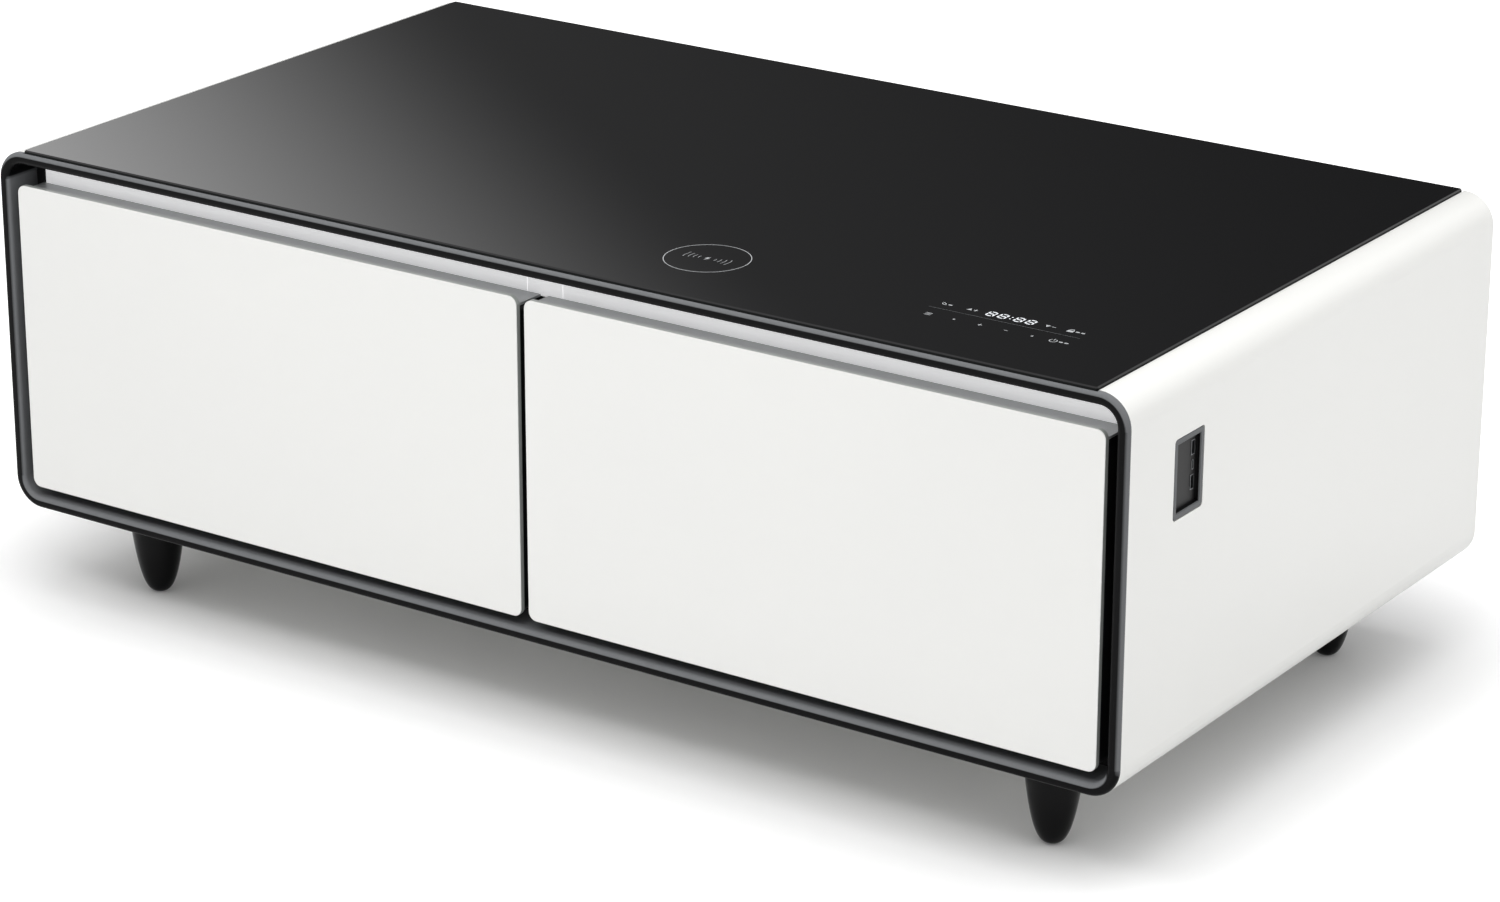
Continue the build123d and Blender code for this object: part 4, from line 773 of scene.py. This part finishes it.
def makeLights():
    scene = bpy.context.scene
    world = bpy.data.worlds.new("studio")
    scene.world = world
    tree = clearedTree(world)
    strength = addNode(tree, "ShaderNodeMapRange", {3: lights["worldGlow"], 4: 1.0}, {0: lookedAt(tree)})
    glow = addNode(tree, "ShaderNodeBackground", {"Color": (1, 1, 1, 1)}, {"Strength": strength.outputs[0]})
    addNode(tree, "ShaderNodeOutputWorld", None, {"Surface": glow.outputs[0]})
    for name, lamp in lights["lamps"].items():
        data = bpy.data.lights.new(name, "AREA")
        data.shape = "RECTANGLE"
        data.size, data.size_y = lamp["size"]
        data.energy = lamp["watts"]
        bulb = bpy.data.objects.new(name, data)
        scene.collection.objects.link(bulb)
        bulb.location = lamp["place"]
        away = Vector(lamp["aim"]) - Vector(lamp["place"])
        bulb.rotation_mode = "QUATERNION"
        bulb.rotation_quaternion = away.to_track_quat("-Z", "Y")
        bulb.visible_glossy = False


makeLights()

card = {
    "distance": 3.0,          # from the middle of the glass, the way its reflection goes
    "size": (7.0, 3.2),
    "fade": (1.6, 0.7),       # metres in from each edge over which the card fades out
    "lean": 48,               # the grading runs this far up from level, towards the left, in degrees
    "darkest": 0.02,          # light at the dark end
    "dimReach": (-2.0, -0.05), "dimGain": 0.085,      # metres along the grading, and the light gained there
    "brightReach": (-0.05, 0.965), "brightGain": 1.8,
}


# Dark card behind the table, shown only in reflections, with one bright corner and edges that fade out
def makeCard():
    a, e = math.radians(camera["azimuth"]), math.radians(camera["elevation"])
    ahead = Vector((-math.sin(a) * math.cos(e), math.cos(a) * math.cos(e), math.sin(e)))
    right = Vector((math.cos(a), math.sin(a), 0))
    up = right.cross(ahead)
    centre = Vector((0, 0, glassBox[1].z)) + ahead * card["distance"]
    w, h = card["size"][0] / 2, card["size"][1] / 2
    corners = [centre + right * x + up * y for x, y in ((-w, -h), (w, -h), (w, h), (-w, h))]
    board = stageSheet("reflectionCard", corners)
    board.visible_camera = False
    board.visible_diffuse = False
    board.visible_shadow = False
    board.visible_transmission = False
    material = bpy.data.materials.new("graded card")
    tree = clearedTree(material)
    place = addNode(tree, "ShaderNodeTexCoord").outputs["Object"]
    offset = addNode(tree, "ShaderNodeVectorMath", {"operation": "SUBTRACT", 1: tuple(centre)}, {0: place})
    lean = math.radians(card["lean"])
    slope = (right * -math.cos(lean) + up * math.sin(lean)).normalized()
    along = addNode(tree, "ShaderNodeVectorMath", {"operation": "DOT_PRODUCT", 1: tuple(slope)},
                    {0: offset.outputs[0]})
    # The light is the darkest value, plus a gain that grows as the square, plus an S-shaped one
    near, far = card["dimReach"]
    dim = addNode(tree, "ShaderNodeMapRange", {1: near, 2: far, 3: 0.0, 4: 1.0}, {0: along.outputs["Value"]})
    dim = addNode(tree, "ShaderNodeMath", {"operation": "POWER", 1: 2.0}, {0: dim.outputs[0]})
    dim = addNode(tree, "ShaderNodeMath", {
        "operation": "MULTIPLY_ADD", 1: card["dimGain"], 2: card["darkest"],
    }, {0: dim.outputs[0]})
    near, far = card["brightReach"]
    bright = addNode(tree, "ShaderNodeMapRange", {
        "interpolation_type": "SMOOTHSTEP", 1: near, 2: far, 3: 0.0, 4: card["brightGain"],
    }, {0: along.outputs["Value"]})
    light = addNode(tree, "ShaderNodeMath", {"operation": "ADD"}, {0: dim.outputs[0], 1: bright.outputs[0]})
    glow = addNode(tree, "ShaderNodeEmission", {"Color": (1, 1, 1, 1)}, {"Strength": light.outputs[0]})
    kept = []
    for way, half, fade in zip((right, up), (w, h), card["fade"]):
        out = addNode(tree, "ShaderNodeVectorMath", {"operation": "DOT_PRODUCT", 1: tuple(way)},
                      {0: offset.outputs[0]})
        out = addNode(tree, "ShaderNodeMath", {"operation": "ABSOLUTE"}, {0: out.outputs["Value"]})
        kept.append(addNode(tree, "ShaderNodeMapRange", {
            "interpolation_type": "SMOOTHSTEP", 1: half - fade, 2: half, 3: 1.0, 4: 0.0,
        }, {0: out.outputs[0]}))
    solid = addNode(tree, "ShaderNodeMath", {"operation": "MULTIPLY"},
                    {0: kept[0].outputs[0], 1: kept[1].outputs[0]})
    clear = addNode(tree, "ShaderNodeBsdfTransparent")
    faded = addNode(tree, "ShaderNodeMixShader", None,
                    {0: solid.outputs[0], 1: clear.outputs[0], 2: glow.outputs[0]})
    addNode(tree, "ShaderNodeOutputMaterial", None, {"Surface": faded.outputs[0]})
    board.data.materials.append(material)


makeCard()

bpy.context.scene.view_settings.view_transform = "Standard"
